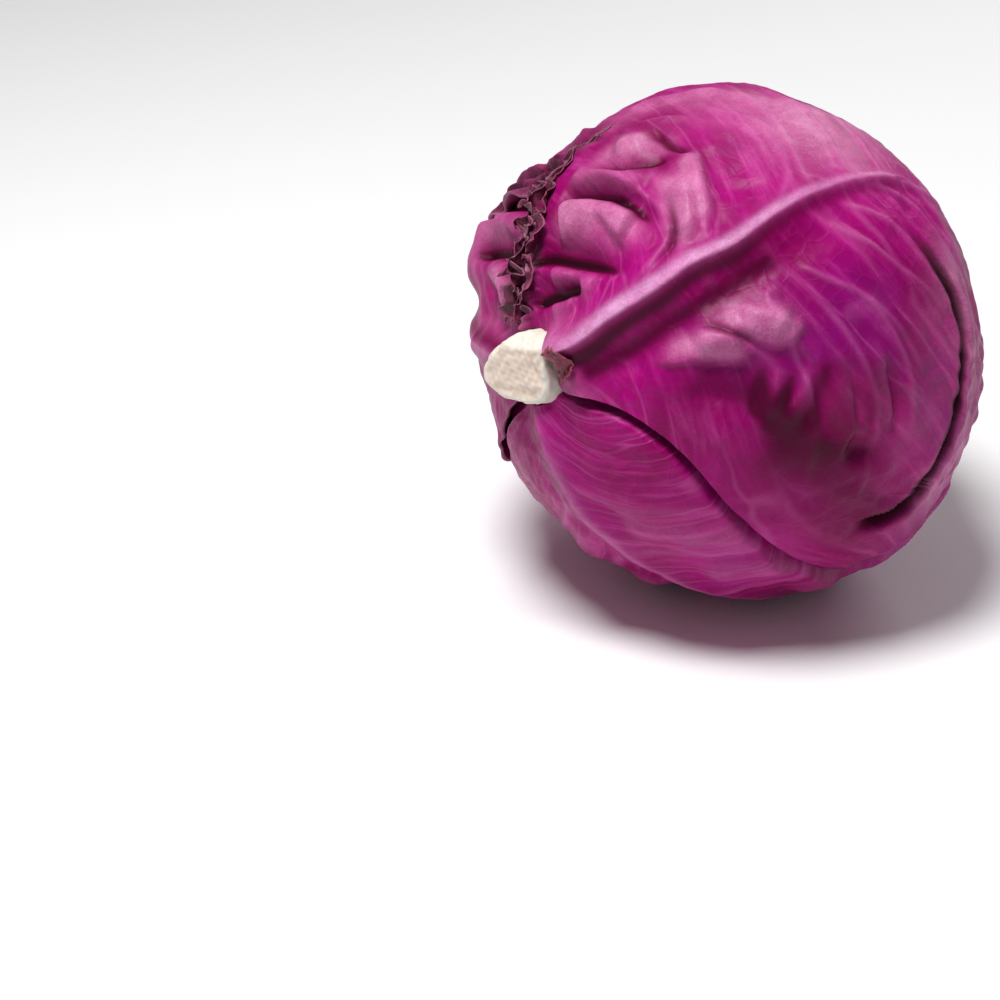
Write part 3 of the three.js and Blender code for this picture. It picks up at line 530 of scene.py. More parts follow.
def leafRelief(leaf, ways):  # the leaf's outer radius, and masks for its colours
    free = np.ones(len(ways))
    cover = np.full(len(ways), farAway)
    for upper in leaves:
        if upper["depth"] < leaf["depth"]:
            beyond = outside(upper, ways)
            free *= smooth(*surface["fullBeyond"], beyond)
            cover = np.minimum(cover, beyond)
    relief = np.full(len(ways), leaf["loft"])
    fromStem = np.linalg.norm(ways - stemWay, axis=1)
    masks = {name: np.zeros(len(ways)) for name in ("vein", "rib", "crease", "pillow", "dark")}
    for f in leaf["folds"]:
        height, *place = foldHeight(f, ways)
        relief += height * (surface["veinShare"] if f["kind"] == "vein" else 1)
        for name, strength in foldMasks(f, *place, leaf["veinWidth"]).items():
            if name == "rib":
                strength = strength * (0.45 + 0.55 * smooth(*ribPalesOver, fromStem))
            masks[name] = np.maximum(masks[name], strength)
        # pillow tops are painted paler: wax bloom with painted highlight
        if f["kind"] == "pillow" and f["rise"][0] > 0 and max(f["reach"]) < 15:
            masks["pillow"] += height / 8
    # pale places (wax bloom and painted highlight) and places of painted shade
    for name, key in (("pillow", "patches"), ("dark", "paintedShades")):
        for line, reach, strength in leaf[key]:
            masks[name] += strength * bell(nearest(lineOver(line), ways, 3 * reach)[0], reach)
    for p in leaf["pleats"]:
        height, shade = pleatHeight(p, ways)
        relief += height
        masks["crease"] = np.maximum(masks["crease"], shade)
    places = ways * head["radius"]
    for i, (high, size) in enumerate(surface["swell"]):
        relief += high * waves(places, size, leaf["seed"] + i)
    high, size = surface["wrinkle"]
    relief += high * (1 - np.abs(waves(places, size, leaf["seed"] + 8))) * (1 - smooth(*nearStemTo, fromStem))
    share, hugWidth = surface["hug"]
    inward = np.maximum(-outside(leaf, ways), 0)
    relief *= 1 - share * smooth(*pastStemFrom, fromStem) * (1 - smooth(0, hugWidth, inward))
    rest = surface["rest"]
    held = rest + np.logaddexp(0, (relief - rest) * 2) / 2  # never dips into the leaf below
    # painted shadow beside the edges of the leaves above
    masks["crease"] = masks["crease"] + np.exp(-np.maximum(cover, 0) / 1.1) * 0.5
    for name in ("crease", "pillow", "dark"):
        masks[name] = np.clip(masks[name], 0, 1)
    return formRadius(ways) - leaf["depth"] * head["leafSpacing"] + held * free, masks


# meshes

def makeMesh(name, points, faces, masks):
    mesh = bpy.data.meshes.new(name)
    corners = faces.shape[1]
    mesh.vertices.add(len(points))
    mesh.vertices.foreach_set("co", ((points + headCentre) * mm).astype(np.float32).ravel())
    mesh.loops.add(faces.size)
    mesh.loops.foreach_set("vertex_index", faces.astype(np.int32).ravel())
    mesh.polygons.add(len(faces))
    mesh.polygons.foreach_set("loop_start", np.arange(0, faces.size, corners, dtype=np.int32))
    mesh.polygons.foreach_set("use_smooth", np.full(len(faces), True))
    mesh.update(calc_edges=True)
    for key, values in masks.items():
        layer = mesh.attributes.new(key, "FLOAT", "POINT")
        layer.data.foreach_set("value", np.asarray(values, dtype=np.float32).ravel())
    mesh.validate()
    piece = bpy.data.objects.new(name, mesh)
    bpy.context.scene.collection.objects.link(piece)
    return piece


def triangles(a, b, c, d):
    return [np.stack([a, b, c], -1).reshape(-1, 3), np.stack([a, c, d], -1).reshape(-1, 3)]


def everySecond(rows, columns):  # the outer grid's points that have an inner point under them
    return np.arange(rows * columns).reshape(rows, columns)[::2, ::2].ravel()


def shellFaces(rows, columns):  # a closed shell: an outer grid, and an inner one with every second point
    at = np.arange(rows * columns).reshape(rows, columns)
    innerSize = (rows // 2 + 1, columns // 2 + 1)
    under = rows * columns + np.arange(innerSize[0] * innerSize[1]).reshape(innerSize)
    faces = triangles(at[:-1, :-1], at[:-1, 1:], at[1:, 1:], at[1:, :-1])
    faces += triangles(under[:-1, :-1], under[1:, :-1], under[1:, 1:], under[:-1, 1:])
    rims = ((at[:, 0], under[:, 0], 1), (at[:, -1], under[:, -1], -1),
            (at[0], under[0], -1), (at[-1], under[-1], 1))
    for top, low, turn in rims:
        start, middle, end = top[:-1:2], top[1::2], top[2::2]
        for corners in ((start, middle, low[:-1]), (middle, low[1:], low[:-1]), (middle, end, low[1:])):
            faces.append(np.stack(corners, -1)[:, ::turn])
    return np.vstack(faces)


def ringFaces(rings, turns):  # a closed body of rings, whose end points come after the rings' points
    at = np.arange(rings * turns).reshape(rings, turns)
    after = np.roll(at, -1, axis=1)
    faces = triangles(at[:-1], after[:-1], after[1:], at[1:])
    first, last = np.full(turns, rings * turns), np.full(turns, rings * turns + 1)
    faces += [np.stack([first, after[0], at[0]], -1), np.stack([last, at[-1], after[-1]], -1)]
    return np.vstack(faces)


def spaced(count, peaks, width=0.035):  # places from 0 to 1, closer together near each (place, strength)
    x = np.linspace(0, 1, 3000)
    density = 1 + sum(strength * bell(x - place, width) for place, strength in peaks)
    total = np.concatenate([[0], np.cumsum((density[1:] + density[:-1]) / 2)])
    return np.interp(np.linspace(0, total[-1], count), total, x)


def odd(count):
    return int(count * detail) // 2 * 2 + 1


ribShare = 0.42  # share of a leaf's columns that lies left of its rib


def leafGrid(leaf, rows, columns):  # polar and around angles, whose lines follow the rib and deep creases
    start, end = leaf["polar"]
    guides = leaf["guides"]
    down = spaced(rows, [(0.0, 1.0), *((share, 1.6) for share, _ in guides)])[:, None]
    across = spaced(columns, [(0.0, 1.2), (ribShare, 1.6)])[None, :]
    polar = start + (end - start) * down + 0 * across
    around = polar
    for _ in range(3 if guides else 1):
        left, middle, right = (through(leaf[key], polar) for key in ("leftEdge", "rib", "rightEdge"))
        around = np.where(across < ribShare, left + (middle - left) * across / ribShare,
                          middle + (right - middle) * (across - ribShare) / (1 - ribShare))
        if guides:
            shares = np.array([0, *(share for share, _ in guides), 1])
            places = np.stack([np.full_like(around, start), *(through(line, around) for _, line in guides),
                               np.full_like(around, end)])
            i = np.clip(np.searchsorted(shares, down[:, 0], side="right") - 1, 0, len(shares) - 2)
            t = ((down[:, 0] - shares[i]) / (shares[i + 1] - shares[i]))[:, None]
            row = np.arange(rows)
            polar = places[i, row] * (1 - t) + places[i + 1, row] * t
    return polar, around, left


def dryShare(leaf, ways, polar):  # 1 where the leaf is dried, in a ragged part left of the dry line
    distance, side, _ = nearest(lineOver(leaf["dryLine"]), ways)
    places = ways * head["radius"]
    ragged = polar + 3.0 * waves(places, 11, leaf["seed"] + 9)
    inDry = np.where(side > 0, 1.0, bell(distance, leaf["dryReach"])) * smooth(68, 50, ragged)
    return inDry * (0.62 + 0.38 * smooth(-0.5, 0.4, waves(places, 12, leaf["seed"] + 4)))


def leafPiece(leaf):
    rows, columns = odd(leaf["rows"]), odd(leaf["columns"])
    start, end = leaf["polar"]
    polar, around, left = (grid.ravel() for grid in leafGrid(leaf, rows, columns))
    ways = onHead(leaf, polar, around)
    places = ways * head["radius"]
    perDegree = np.linalg.norm(ways - onHead(leaf, polar, around + 1), axis=1) * head["radius"]
    fromEdge = (around - left) * perDegree

    radius, masks = leafRelief(leaf, ways)
    ruffle = leaf["ruffle"]
    nearTip = smooth(0.8, 1, (polar - start) / (end - start))
    calm = 1 - (1 - ruffle["calm"]) * smooth(*ruffle["calmPast"], polar)
    edge = np.clip(1 - fromEdge / ruffle["width"], 0, 1) ** 1.3 * (1 - nearTip) * calm
    turns = np.radians(polar) * head["radius"] * 2 * math.pi / ruffle["pitch"]
    turns = turns + 1.4 * waves(places, 34, leaf["seed"] + 5)
    out = edge * (ruffle["lift"] + ruffle["wave"] * (np.sin(turns) + 0.4 * np.sin(2.7 * turns + 1)))
    sway = edge * ruffle["wave"] * (0.7 * np.cos(1.3 * turns) + 0.3 * np.sin(3.1 * turns))
    moved = onHead(leaf, polar, around + sway / perDegree)

    pastEdge = np.maximum(fromEdge, 0)
    dry = 0.5 * np.exp(-pastEdge / 2.2)
    if leaf["dryLine"]:
        dry = np.maximum(dry, dryShare(leaf, ways, polar))
    masks["dry"] = np.clip(dry, 0, 1)
    masks["rim"] = np.exp(-pastEdge / 0.9)

    # ways along and across the veins, in metres, for streaks in the skin
    fromRib = around - through(leaf["rib"], polar)
    masks["vein"] = np.maximum(masks["vein"], bell(fromRib * perDegree, 1.5))
    radius = radius + 0.5 * bell(fromRib * perDegree, 2.2) * smooth(60, 100, polar)
    leftLean, nearLean, farLean = leaf["veinLean"]
    lean = np.where(fromRib < 0, leftLean, nearLean + (farLean - nearLean) * smooth(40, 110, polar))
    acrossVeins = np.radians(polar - lean * np.abs(fromRib)) * head["radius"]
    masks["acrossVeins"] = acrossVeins * mm
    masks["alongVeins"] = np.radians(fromRib) * head["radius"] * mm
    fan = np.sin(acrossVeins * 2 * math.pi / 8.5 + 1.1 * waves(places, 30, leaf["seed"] + 6))
    fan = fan * smooth(52, 74, polar) * smooth(8, 26, fromRib) * smooth(0, 6, fromEdge)
    radius = radius + leaf["fan"] * fan

    layerDepth = 0 if leaf is underLeaf else leaf["depth"] * head["leafSpacing"]
    top = aboveTable(radius + out, moved, layerDepth)
    inner = everySecond(rows, columns)
    bottom = aboveTable(top[inner] - head["leafThickness"], moved[inner], layerDepth + head["leafThickness"])
    points = np.vstack([moved * top[:, None], moved[inner] * bottom[:, None]])
    masks = {key: np.concatenate([value, value[inner]]) for key, value in masks.items()}
    piece = makeMesh(leaf["name"] + "_skin", points, shellFaces(rows, columns), masks)
    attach(piece, "root")
    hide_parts(leaf["name"])
    print(leaf["name"], "made")
    return piece


# shader maths

class Wire:  # a node socket that adds nodes when it is used in an expression
    def __init__(self, tree, socket=None):
        self.tree, self.socket = tree, socket

    def make(self, kind, settings=None, inputs=None, output=0):
        item = self.tree.nodes.new(kind)
        for key, value in (settings or {}).items():
            setattr(item, key, value)
        for key, value in (inputs or {}).items():
            if isinstance(value, Wire):
                self.tree.links.new(value.socket, item.inputs[key])
            else:
                item.inputs[key].default_value = value
        return Wire(self.tree, item.outputs[output] if item.outputs else None)

    def math(self, operation, *values, clamp=False):
        return self.make("ShaderNodeMath", {"operation": operation, "use_clamp": clamp},
                         dict(enumerate(values)))

    def __add__(self, other): return self.math("ADD", self, other)
    def __radd__(self, other): return self.math("ADD", other, self)
    def __sub__(self, other): return self.math("SUBTRACT", self, other)
    def __rsub__(self, other): return self.math("SUBTRACT", other, self)
    def __mul__(self, other): return self.math("MULTIPLY", self, other)
    def __rmul__(self, other): return self.math("MULTIPLY", other, self)

    def clamped(self): return self.math("ADD", self, 0.0, clamp=True)

    def ramp(self, low, high):  # 0 at low, 1 at high, eased
        return self.make("ShaderNodeMapRange", {"interpolation_type": "SMOOTHSTEP"},
                         {"Value": self, "From Min": low, "From Max": high})

    def blend(self, a, b):  # colour a where this is 0, colour b where it is 1
        return self.make("ShaderNodeMix", {"data_type": "RGBA"}, {0: self, 6: a, 7: b}, 2)

    def mask(self, name):
        return self.make("ShaderNodeAttribute", {"attribute_name": name}, None, "Fac")

    def noise(self, place, scale, octaves=3.0, roughness=0.5):
        return self.make("ShaderNodeTexNoise", None,
                         {"Vector": place, "Scale": scale, "Detail": octaves, "Roughness": roughness})

    def bent(self, place, scale, octaves, share):  # this vector, pulled about by a coloured noise
        bend = self.make("ShaderNodeTexNoise", None,
                         {"Vector": place, "Scale": scale, "Detail": octaves}, "Color")
        return self.make("ShaderNodeMix", {"data_type": "VECTOR"}, {0: share, 4: self, 5: bend}, 1)

    def cellEdges(self, scale):  # distance to the edges of cells
        return self.make("ShaderNodeTexVoronoi", {"feature": "DISTANCE_TO_EDGE"},
                         {"Vector": self, "Scale": scale}, "Distance")

    def bump(self, height, strength, distance):
        return self.make("ShaderNodeBump", None,
                         {"Height": height, "Strength": strength, "Distance": distance})


def srgb(r, g, b):  # a colour as picked on screen, 0 to 255
    def linear(c):
        c /= 255
        return c / 12.92 if c <= 0.04045 else ((c + 0.055) / 1.055) ** 2.4
    return (linear(r), linear(g), linear(b), 1.0)


def newMaterial(name):
    material = bpy.data.materials.new(name)
    material.use_nodes = True
    tree = material.node_tree
    tree.nodes.clear()
    return material, Wire(tree)


def finishMaterial(w, inputs):
    shader = w.make("ShaderNodeBsdfPrincipled", None, inputs)
    w.make("ShaderNodeOutputMaterial", None, {"Surface": shader})


leafTones = {
    "deep": srgb(128, 0, 78), "bright": srgb(172, 4, 122), "violet": srgb(138, 18, 130),
    "bloomAndSheen": srgb(208, 128, 172), "paleRibAndHighlight": srgb(216, 160, 202), "vein": srgb(206, 104, 168),
    "crease": srgb(40, 3, 18), "paintedShadeMaroon": srgb(88, 2, 42), "dry": srgb(76, 14, 46),
    "dryPale": srgb(136, 56, 94), "rim": srgb(178, 118, 148),
}
leafMasks = ("vein", "rib", "crease", "pillow", "dark", "dry", "rim", "acrossVeins", "alongVeins")


def leafSkin(name, bloomAndSheenAmount):
    material, w = newMaterial(name)
    place = w.make("ShaderNodeTexCoord", None, None, "Object")
    vein, rib, crease, pillow, dark, dry, rim, acrossVeins, alongVeins = (w.mask(key) for key in leafMasks)
    flow = w.make("ShaderNodeCombineXYZ", None, {"X": acrossVeins, "Y": alongVeins * 0.11})

    patches = w.noise(place, 24.0, 3.0, 0.5).ramp(0.36, 0.66)
    streaks = w.noise(flow, 230.0, 4.0, 0.6)
    grain = w.noise(place, 1400.0, 3.0, 0.7)
    mottle = w.noise(place, 130.0, 5.0, 0.62)
    tone = (patches * 0.55 + streaks.ramp(0.36, 0.68) * 0.45).clamped()
    colour = tone.blend(leafTones["deep"], leafTones["bright"])
    violet = (w.noise(place, 17.0, 2.0).ramp(0.5, 0.75) * 0.4 + rib * 0.4).clamped()
    colour = violet.blend(colour, leafTones["violet"])
    powder = grain.ramp(0.35, 0.65) * 0.5 + mottle.ramp(0.36, 0.64) * 0.6
    # pale wax bloom with a painted highlight, on pillow tops, pale patches and the rib
    bloomAndSheen = (pillow * 0.85 + streaks.ramp(0.48, 0.78) * 0.22 + rib * 0.3) * bloomAndSheenAmount
    bloomAndSheen = (bloomAndSheen * (powder * 0.7 + 0.5) * (1 - dark)).clamped()
    colour = bloomAndSheen.blend(colour, leafTones["bloomAndSheen"])
    # the rib's pale crest: pale rib with a painted highlight
    colour = (rib.ramp(0.2, 0.9) * (powder * 0.6 + 0.5)).clamped().blend(colour, leafTones["paleRibAndHighlight"])

    # the net of fine veins, and the faint cells of the skin
    net = flow.bent(place, 40.0, 2.0, 0.004).cellEdges(84.0)
    net = (1 - net.ramp(0.0, 0.05)) * (1 - dark) * (1 - pillow * 0.7)
    net = net * w.noise(place, 30.0, 2.0).ramp(0.35, 0.6)
    cells = place.bent(place, 60.0, 3.0, 0.012).cellEdges(150.0)
    veined = vein * 0.3 + net * 0.22 + (1 - cells.ramp(0.0, 0.05)) * 0.03
    colour = veined.clamped().blend(colour, leafTones["vein"])

    # painted shade: creases, the rib's lower side and shaded hollows turn maroon, and the deepest turn near
    # black
    shade = (crease.ramp(0.02, 0.5) * 0.6 + dark * (0.6 + streaks * 0.6)).clamped()
    colour = (shade * 0.92).blend(colour, leafTones["paintedShadeMaroon"])
    colour = (dark.ramp(0.55, 1.0) * 0.5).blend(colour, leafTones["crease"])
    crackle = w.noise(place, 210.0, 6.0, 0.7)
    dryColour = crackle.ramp(0.4, 0.7).blend(leafTones["dry"], leafTones["dryPale"])
    colour = (dry * (0.75 + crackle * 0.5)).clamped().blend(colour, dryColour)
    # painted shade: near black in creases, in the pleat's gap and beside the edges of upper leaves
    colour = (crease.ramp(0.26, 0.9) * 0.9).blend(colour, leafTones["crease"])
    colour = (rim * dry).clamped().blend(colour, leafTones["rim"])

    roughness = 0.36 + mottle * 0.1 + bloomAndSheen * 0.15 + dry * 0.14
    height = (cells.ramp(0.0, 0.12) * -0.16 + grain * 0.12 + mottle * 0.5 + streaks * 0.5 + net * 0.35
              + w.noise(place, 62.0, 4.0, 0.55) * 0.8 + dry * crackle * 3.0)
    finishMaterial(w, {"Base Color": colour, "Roughness": roughness, "IOR": 1.4, "Specular IOR Level": 0.14,
                       "Coat Weight": (bloomAndSheen * 0.2 + 0.03) * (1 - dark), "Coat Roughness": 0.36,
                       "Normal": w.bump(height, 0.3, 0.0012)})
    return material


outerSkin = leafSkin("outer leaf skin", 0.8)
innerSkin = leafSkin("inner leaf skin", 0.9)

for leaf in leaves:
    piece = leafPiece(leaf)
    outer = leaf["depth"] <= underLeaf["depth"]
    piece.data.materials.append(outerSkin if outer else innerSkin)


# dried frill along the front leaf's left edge

frill = {
    "line": [(9.5, -43), (15, -38), (20, -32), (27, -30), (33, -29), (39.5, -29.5), (46, -28), (52, -26),
             (60, -22)],
    "height": [(0, 2.0), (0.1, 4.2), (0.4, 4.6), (0.6, 3.8), (0.72, 1.6), (1, 0.7)],
    # share of each strand's offset and swing that is left along the line
    "spread": [(0, 0.5), (0.12, 1.0), (0.5, 1.0), (0.66, 0.45), (1, 0.12)],
    "pitch": 12.5, "finePitch": 3.4, "sunk": 0.3, "thickness": 0.45, "steps": 460, "levels": 22,
    "strands": [
        {"name": "frill_outer", "offset": 3.2, "lean": 3.4, "phase": 0.0, "seed": 41, "tall": 1.0},
        {"name": "frill_middle", "offset": 0.4, "lean": 0.4, "phase": 2.2, "seed": 47, "tall": 1.15},
        {"name": "frill_inner", "offset": -2.4, "lean": -2.2, "phase": 4.1, "seed": 53, "tall": 0.85},
    ],
}


def sharpWave(turn):  # between a sine and a zigzag, as in crumpled leaf
    return 0.5 * np.sin(turn) + 0.5 * np.arcsin(np.sin(turn)) * 2 / math.pi


def frillPiece(strand):
    count, levelCount = odd(frill["steps"]), frill["levels"] // 2 * 2 + 1
    line = lineOver(frill["line"], 20)
    lengths = np.concatenate([[0], np.cumsum(np.linalg.norm(np.diff(line, axis=0), axis=1))])
    s = np.linspace(0, lengths[-1], count)
    base = unit(np.stack([np.interp(s, lengths, line[:, k]) for k in range(3)], -1))
    places = base * head["radius"]
    mmAlong = s * head["radius"]
    travel = unit(np.gradient(base, axis=0))
    sideways = unit(np.cross(base, travel))  # left of travel, over the head
    tall = through(frill["height"], s / lengths[-1]) * strand["tall"]
    spread = through(frill["spread"], s / lengths[-1])
    seed = strand["seed"]
    turn = mmAlong * 2 * math.pi / frill["pitch"] + strand["phase"] + 1.8 * waves(places, 17, seed)
    fine = mmAlong * 2 * math.pi / frill["finePitch"] + 2.2 * waves(places, 10, seed + 1)
    root = leafRelief(frontLeaf, base)[0] - frill["sunk"]
    levels = np.linspace(0, 1, levelCount)
    sheets = []
    for v in levels:
        swing = v ** 1.15 * spread
        push = strand["offset"] * spread + strand["lean"] * v * spread
        push = push + swing * (3.0 * sharpWave(turn) + 0.7 * sharpWave(fine))
        slide = swing * (2.4 * np.cos(turn + 0.5) + 0.5 * np.cos(fine))
        lift = tall * np.sin(v * 1.5) * (0.8 + 0.2 * sharpWave(turn * 2 + 0.7))
        lift = lift + 0.4 * swing * sharpWave(fine + 1)
        sheets.append(base * (root + lift)[:, None] + sideways * push[:, None] + travel * slide[:, None])
    grid = np.stack(sheets, 1)
    flat = grid.reshape(-1, 3)
    crumple = np.stack([0.9 * waves(flat, 7.5, seed + 7 + k) + 0.3 * waves(flat, 3.0, seed + 17 + k)
                        for k in range(3)], -1)
    grid = grid + crumple.reshape(grid.shape) * (spread[:, None] * levels[None, :] ** 0.7)[..., None]
    du, dv = np.gradient(grid, axis=0), np.gradient(grid, axis=1)
    normal = unit(np.cross(du, dv))
    thick = frill["thickness"] * (1 - 0.5 * levels)[None, :, None]
    outer, inner = grid + normal * thick / 2, (grid - normal * thick / 2)[::2, ::2]
    points = np.vstack([outer.reshape(-1, 3), inner.reshape(-1, 3)])
    edge = np.repeat(levels[None, :], count, 0)
    masks = {"edge": np.concatenate([edge.ravel(), edge[::2, ::2].ravel()])}
    piece = makeMesh(strand["name"], points, shellFaces(count, levelCount), masks)
    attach(piece, "root")
    return piece


def dryMaterial(name, dark, pale, rimTone):
    material, w = newMaterial(name)
    place = w.make("ShaderNodeTexCoord", None, None, "Object")
    crackle = w.noise(place, 240.0, 6.0, 0.7)
    colour = crackle.ramp(0.38, 0.7).blend(dark, pale)
    colour = (w.mask("edge").ramp(0.82, 1.0) * 0.75).blend(colour, rimTone)
    finishMaterial(w, {"Base Color": colour, "Roughness": 0.38 + crackle * 0.3,
                       "Normal": w.bump(crackle, 0.5, 0.001)})
    return material


dryLeaf = dryMaterial("dried leaf edge", srgb(70, 10, 38), srgb(130, 40, 78), srgb(156, 78, 112))
for strand in frill["strands"]:
    frillPiece(strand).data.materials.append(dryLeaf)
print("frill made")


# heart: the tight ball of inner leaves, seen only in the gaps

heart = {"polar": (13.5, 176), "rings": 70, "turns": 90, "below": 0.9, "swell": (0.25, 18), "seed": 71}


def heartPiece():
    rings, turns = int(heart["rings"] * detail), int(heart["turns"] * detail)
    polar, around = np.meshgrid(np.linspace(*heart["polar"], rings), np.arange(turns) * 360 / turns,
                                indexing="ij")
    ways = direction(polar.ravel(), around.ravel())
    high, size = heart["swell"]
    radius = formRadius(ways) - head["heartDepth"] - heart["below"]
    radius = radius + high * waves(ways * head["radius"], size, heart["seed"])
    points = ways * aboveTable(radius, ways, head["heartDepth"] + 1)[:, None]
    points = np.vstack([points, points[:turns].mean(0), points[-turns:].mean(0)])
    masks = {name: np.zeros(len(points)) for name in leafMasks}
    piece = makeMesh("heart_ball", points, ringFaces(rings, turns), masks)
    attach(piece, "root")
    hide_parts("heart")
    return piece


heartPiece().data.materials.append(leafSkin("heart leaf skin", 0.9))


# stem

stem = {"radius": 11.6, "root": 62.0, "end": 87.8,
        # each knife cut: out, slope up, slope to the near side
        "cuts": [(0.0, 0.06, -0.42), (6.4, -0.95, -0.16), (7.6, -0.5, 0.5)],
        "lump": (30, 0.86, 2.6, 4.2),  # around, share of the length, rise and reach
        "narrowing": 0.07, "worn": 0.8, "rings": 80, "turns": 128, "capRings": 34}


def stemGirth(turn):  # narrower at the top than below
    return 1 + 0.085 * np.cos(3 * turn) - 0.07 * np.cos(turn) + 0.02 * np.cos(5 * turn + 1)


def stemPiece():
    turns = int(stem["turns"] * max(detail, 0.6))
    turn = np.linspace(0, 2 * math.pi, turns, endpoint=False)

    def cutHeight(top, side):
        heights = np.stack([stem["end"] + out + up * top + near * side for out, up, near in stem["cuts"]])
        return -np.log(np.exp(-heights * 3).sum(0)) / 3, np.argmin(heights, axis=0)

    rows, masks = [], {"cut": [], "cap": [], "low": []}
    shares = [(along, 1.0) for along in np.linspace(0, 1, stem["rings"])]
    shares += [(1.0, share) for share in np.linspace(1, 0.03, stem["capRings"])[1:]]
    lumpTurn, lumpAlong, lumpRise, lumpReach = stem["lump"]
    for along, share in shares:
        radius = stem["radius"] * stemGirth(turn) * (1 - stem["narrowing"] * along ** 2)
        radius = radius - stem["worn"] * smooth(0.965, 1, along)
        apart = np.hypot((turn - math.radians(lumpTurn)) * stem["radius"], (along - lumpAlong) * 26)
        radius = (radius + lumpRise * bell(apart, lumpReach, 4)) * share
        top, side = np.cos(turn) * radius, np.sin(turn) * radius
        height, which = cutHeight(top, side)
        out = stem["root"] + (height - stem["root"]) * along
        rows.append(out[:, None] * stemWay + top[:, None] * topWay + side[:, None] * sideWay)
        masks["cut"].append((which == 0) * (share < 1.0))
        masks["cap"].append(np.full(turns, 1 - share))
        masks["low"].append(np.full(turns, along))
    places = np.stack(rows).reshape(-1, 3)
    rough = 0.22 * waves(places, 5.0, 81) + 0.12 * waves(places, 2.2, 82)
    places = places + unit(places - stemWay * 60) * rough[:, None]
    ends = [places[:turns].mean(0), places[-turns:].mean(0)]
    masks = {key: np.concatenate([np.concatenate(value), [0, value[-1][0]]]) for key, value in masks.items()}
    piece = makeMesh("stem_stump", np.vstack([places, ends]), ringFaces(len(rows), turns), masks)
    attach(piece, "root")
    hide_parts("stem")
    return piece


def stemMaterial():
    material, w = newMaterial("cut stem flesh")
    place = w.make("ShaderNodeTexCoord", None, None, "Object")
    cut, cap, low = w.mask("cut"), w.mask("cap"), w.mask("low")
    fibre = w.noise(place, 420.0, 5.0, 0.6)
    soft = w.noise(place, 90.0, 3.0)
    edgeOf = cap + (soft - 0.5) * 0.16
    colour = soft.ramp(0.3, 0.7).blend(srgb(228, 222, 211), srgb(218, 206, 188))
    ring = edgeOf.ramp(0.12, 0.2) * (1 - edgeOf.ramp(0.22, 0.34))
    ring = ring * w.noise(place, 260.0, 4.0).ramp(0.35, 0.6)
    face = (soft * 0.7 + fibre * 0.3).ramp(0.3, 0.7).blend(srgb(228, 211, 196), srgb(222, 204, 188))
    colour = (cut * edgeOf.ramp(0.0, 0.1)).blend(colour, face)
    colour = (ring * cut * 0.4).blend(colour, srgb(198, 168, 132))
    colour = ((1 - low.ramp(0.5, 0.8)) * 0.5).blend(colour, srgb(206, 150, 178))
    finishMaterial(w, {"Base Color": colour, "Roughness": 0.5 + fibre * 0.2,
                       "Normal": w.bump(fibre * 0.5 + soft * 0.3, 0.2, 0.0008)})
    return material


stemPiece().data.materials.append(stemMaterial())
print("stem made")


# dry scrap beside the stem

scrap = {"polar": 10.8, "around": 67, "length": 6.5, "width": 9.5, "thickness": 0.6,
         "rows": 61, "columns": 45}


def scrapPiece():
    rows, columns = scrap["rows"], scrap["columns"]
    u, v = np.meshgrid(np.linspace(0, 1, rows), np.linspace(-0.5, 0.5, columns), indexing="ij")
    u, v = u.ravel(), v.ravel()
    taper = np.sin(math.pi * (0.18 + 0.72 * u)) ** 0.8
    ragged = 1 + 0.10 * np.sin(u * 31) + 0.06 * np.sin(u * 57 + 1)
    polar = scrap["polar"] + np.degrees(u * scrap["length"] / head["radius"])
    across = v * scrap["width"] * taper * ragged
    around = scrap["around"] + np.degrees(across / (head["radius"] * np.sin(np.radians(polar))))
    ways = direction(polar, around)
    curl = 0.5 + 1.5 * u + 3.2 * v * v + 0.5 * np.sin(7 * v + 5 * u) + 0.35 * np.sin(19 * v + 9 * u)
    bottom = leafRelief(frontLeaf, ways)[0] + curl
    inner = everySecond(rows, columns)
    points = np.vstack([ways * (bottom + scrap["thickness"])[:, None], (ways * bottom[:, None])[inner]])
    edge = np.maximum(np.abs(v) * 2, np.maximum(u, 1 - u) * 0.98)
    piece = makeMesh("scrap_dry", points, shellFaces(rows, columns),
                     {"edge": np.concatenate([edge, edge[inner]])})
    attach(piece, "root")
    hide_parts("leaf_scrap")
    return piece


scrapPiece().data.materials.append(
    dryMaterial("dried scrap", srgb(104, 16, 44), srgb(152, 44, 82), srgb(150, 84, 92)))
print("scrap made")


# floor, light and camera

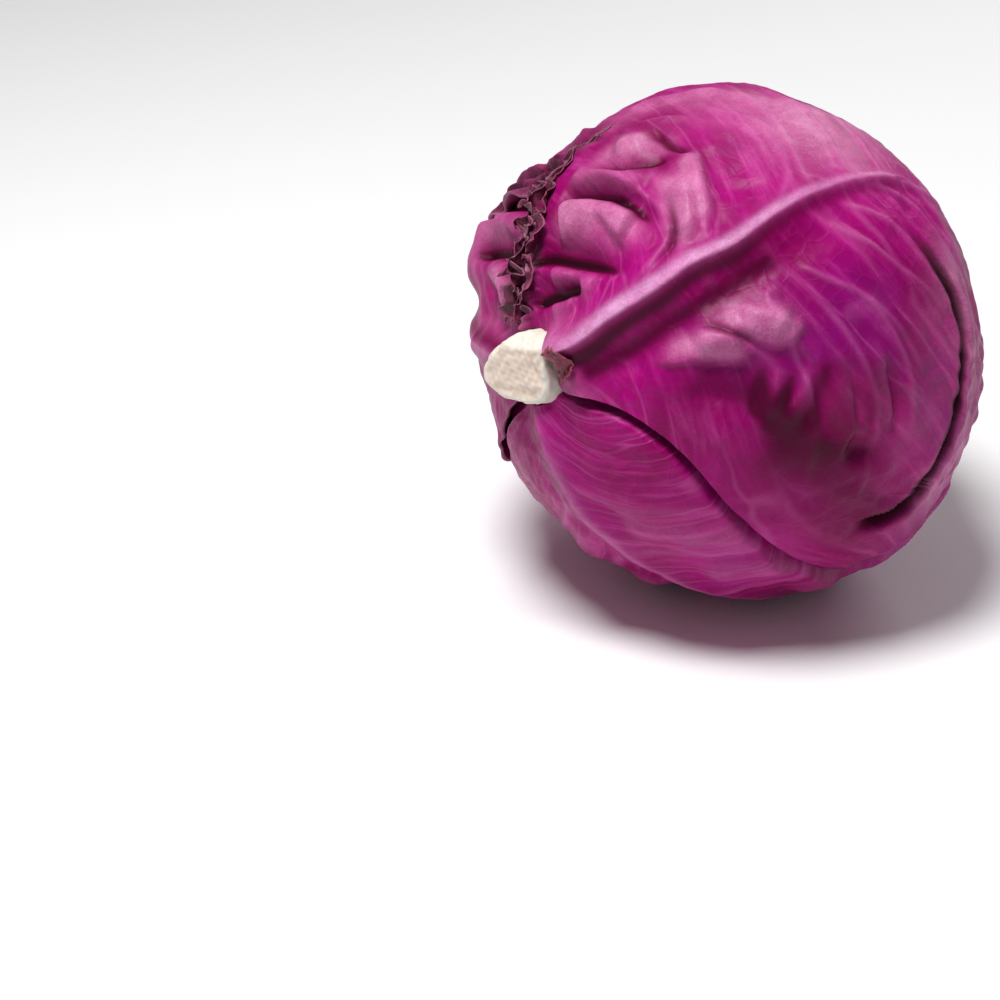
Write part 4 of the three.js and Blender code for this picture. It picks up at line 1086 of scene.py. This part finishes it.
floorHalf, floorDown = 3, -0.0002
floorMesh = bpy.data.meshes.new("floor")
corners = [(x * floorHalf, y * floorHalf, floorDown) for x, y in ((-1, -1), (1, -1), (1, 1), (-1, 1))]
floorMesh.from_pydata(corners, [], [(0, 1, 2, 3)])
floor = bpy.data.objects.new("floor", floorMesh)
bpy.context.scene.collection.objects.link(floor)
floorMaterial, w = newMaterial("pale floor")
finishMaterial(w, {"Base Color": (0.95, 0.95, 0.955, 1), "Roughness": 0.85})
floorMesh.materials.append(floorMaterial)


def addPlaced(name, data, right, up, back, place):  # a lamp or camera that looks against back
    item = bpy.data.objects.new(name, data)
    bpy.context.scene.collection.objects.link(item)
    for row in range(3):
        for column, way in enumerate((right, up, back, place)):
            item.matrix_world[row][column] = way[row]
    return item


def areaLight(name, place, size, power):
    data = bpy.data.lights.new(name, "AREA")
    data.shape, data.size, data.energy = "DISK", size, power
    back = unit(np.array(place, float) - headCentre * mm)
    right = unit(np.cross((0.0, 1.0, 0.02), back))
    addPlaced(name, data, right, np.cross(back, right), back, place)


areaLight("softbox", (-0.34, -0.05, 1.12), 0.42, 14.2)
areaLight("sidebox", (0.9, 0.35, 0.65), 0.6, 2.8)

world = bpy.data.worlds.new("studio")
bpy.context.scene.world = world
world.use_nodes = True
world.node_tree.nodes["Background"].inputs["Color"].default_value = (1, 1, 1, 1)
world.node_tree.nodes["Background"].inputs["Strength"].default_value = 0.16

# distance in mm; shot is the head's middle in an image of imageSide pixels
view = {"azimuth": -35.81064, "elevation": 28.84281, "distance": 818.45, "shot": (730, 337),
        "imageSide": 1000, "lens": 90.0, "sensor": 36.0}


def placeCamera():
    a, e = math.radians(view["azimuth"]), math.radians(view["elevation"])
    back = np.array([math.sin(a) * math.cos(e), -math.cos(a) * math.cos(e), math.sin(e)])
    right = np.array([math.cos(a), math.sin(a), 0.0])
    up = np.cross(back, right)
    focal, half = view["lens"] / view["sensor"] * view["imageSide"], view["imageSide"] / 2
    ray = unit(right * (view["shot"][0] - half) / focal + up * (half - view["shot"][1]) / focal - back)
    data = bpy.data.cameras.new("camera")
    data.lens, data.sensor_width = view["lens"], view["sensor"]
    data.clip_start, data.clip_end = 0.05, 50
    place = (headCentre - ray * view["distance"]) * mm
    bpy.context.scene.camera = addPlaced("camera", data, right, up, back, place)


placeCamera()
bpy.context.scene.view_settings.view_transform = "Standard"
print("floor, light and camera set")
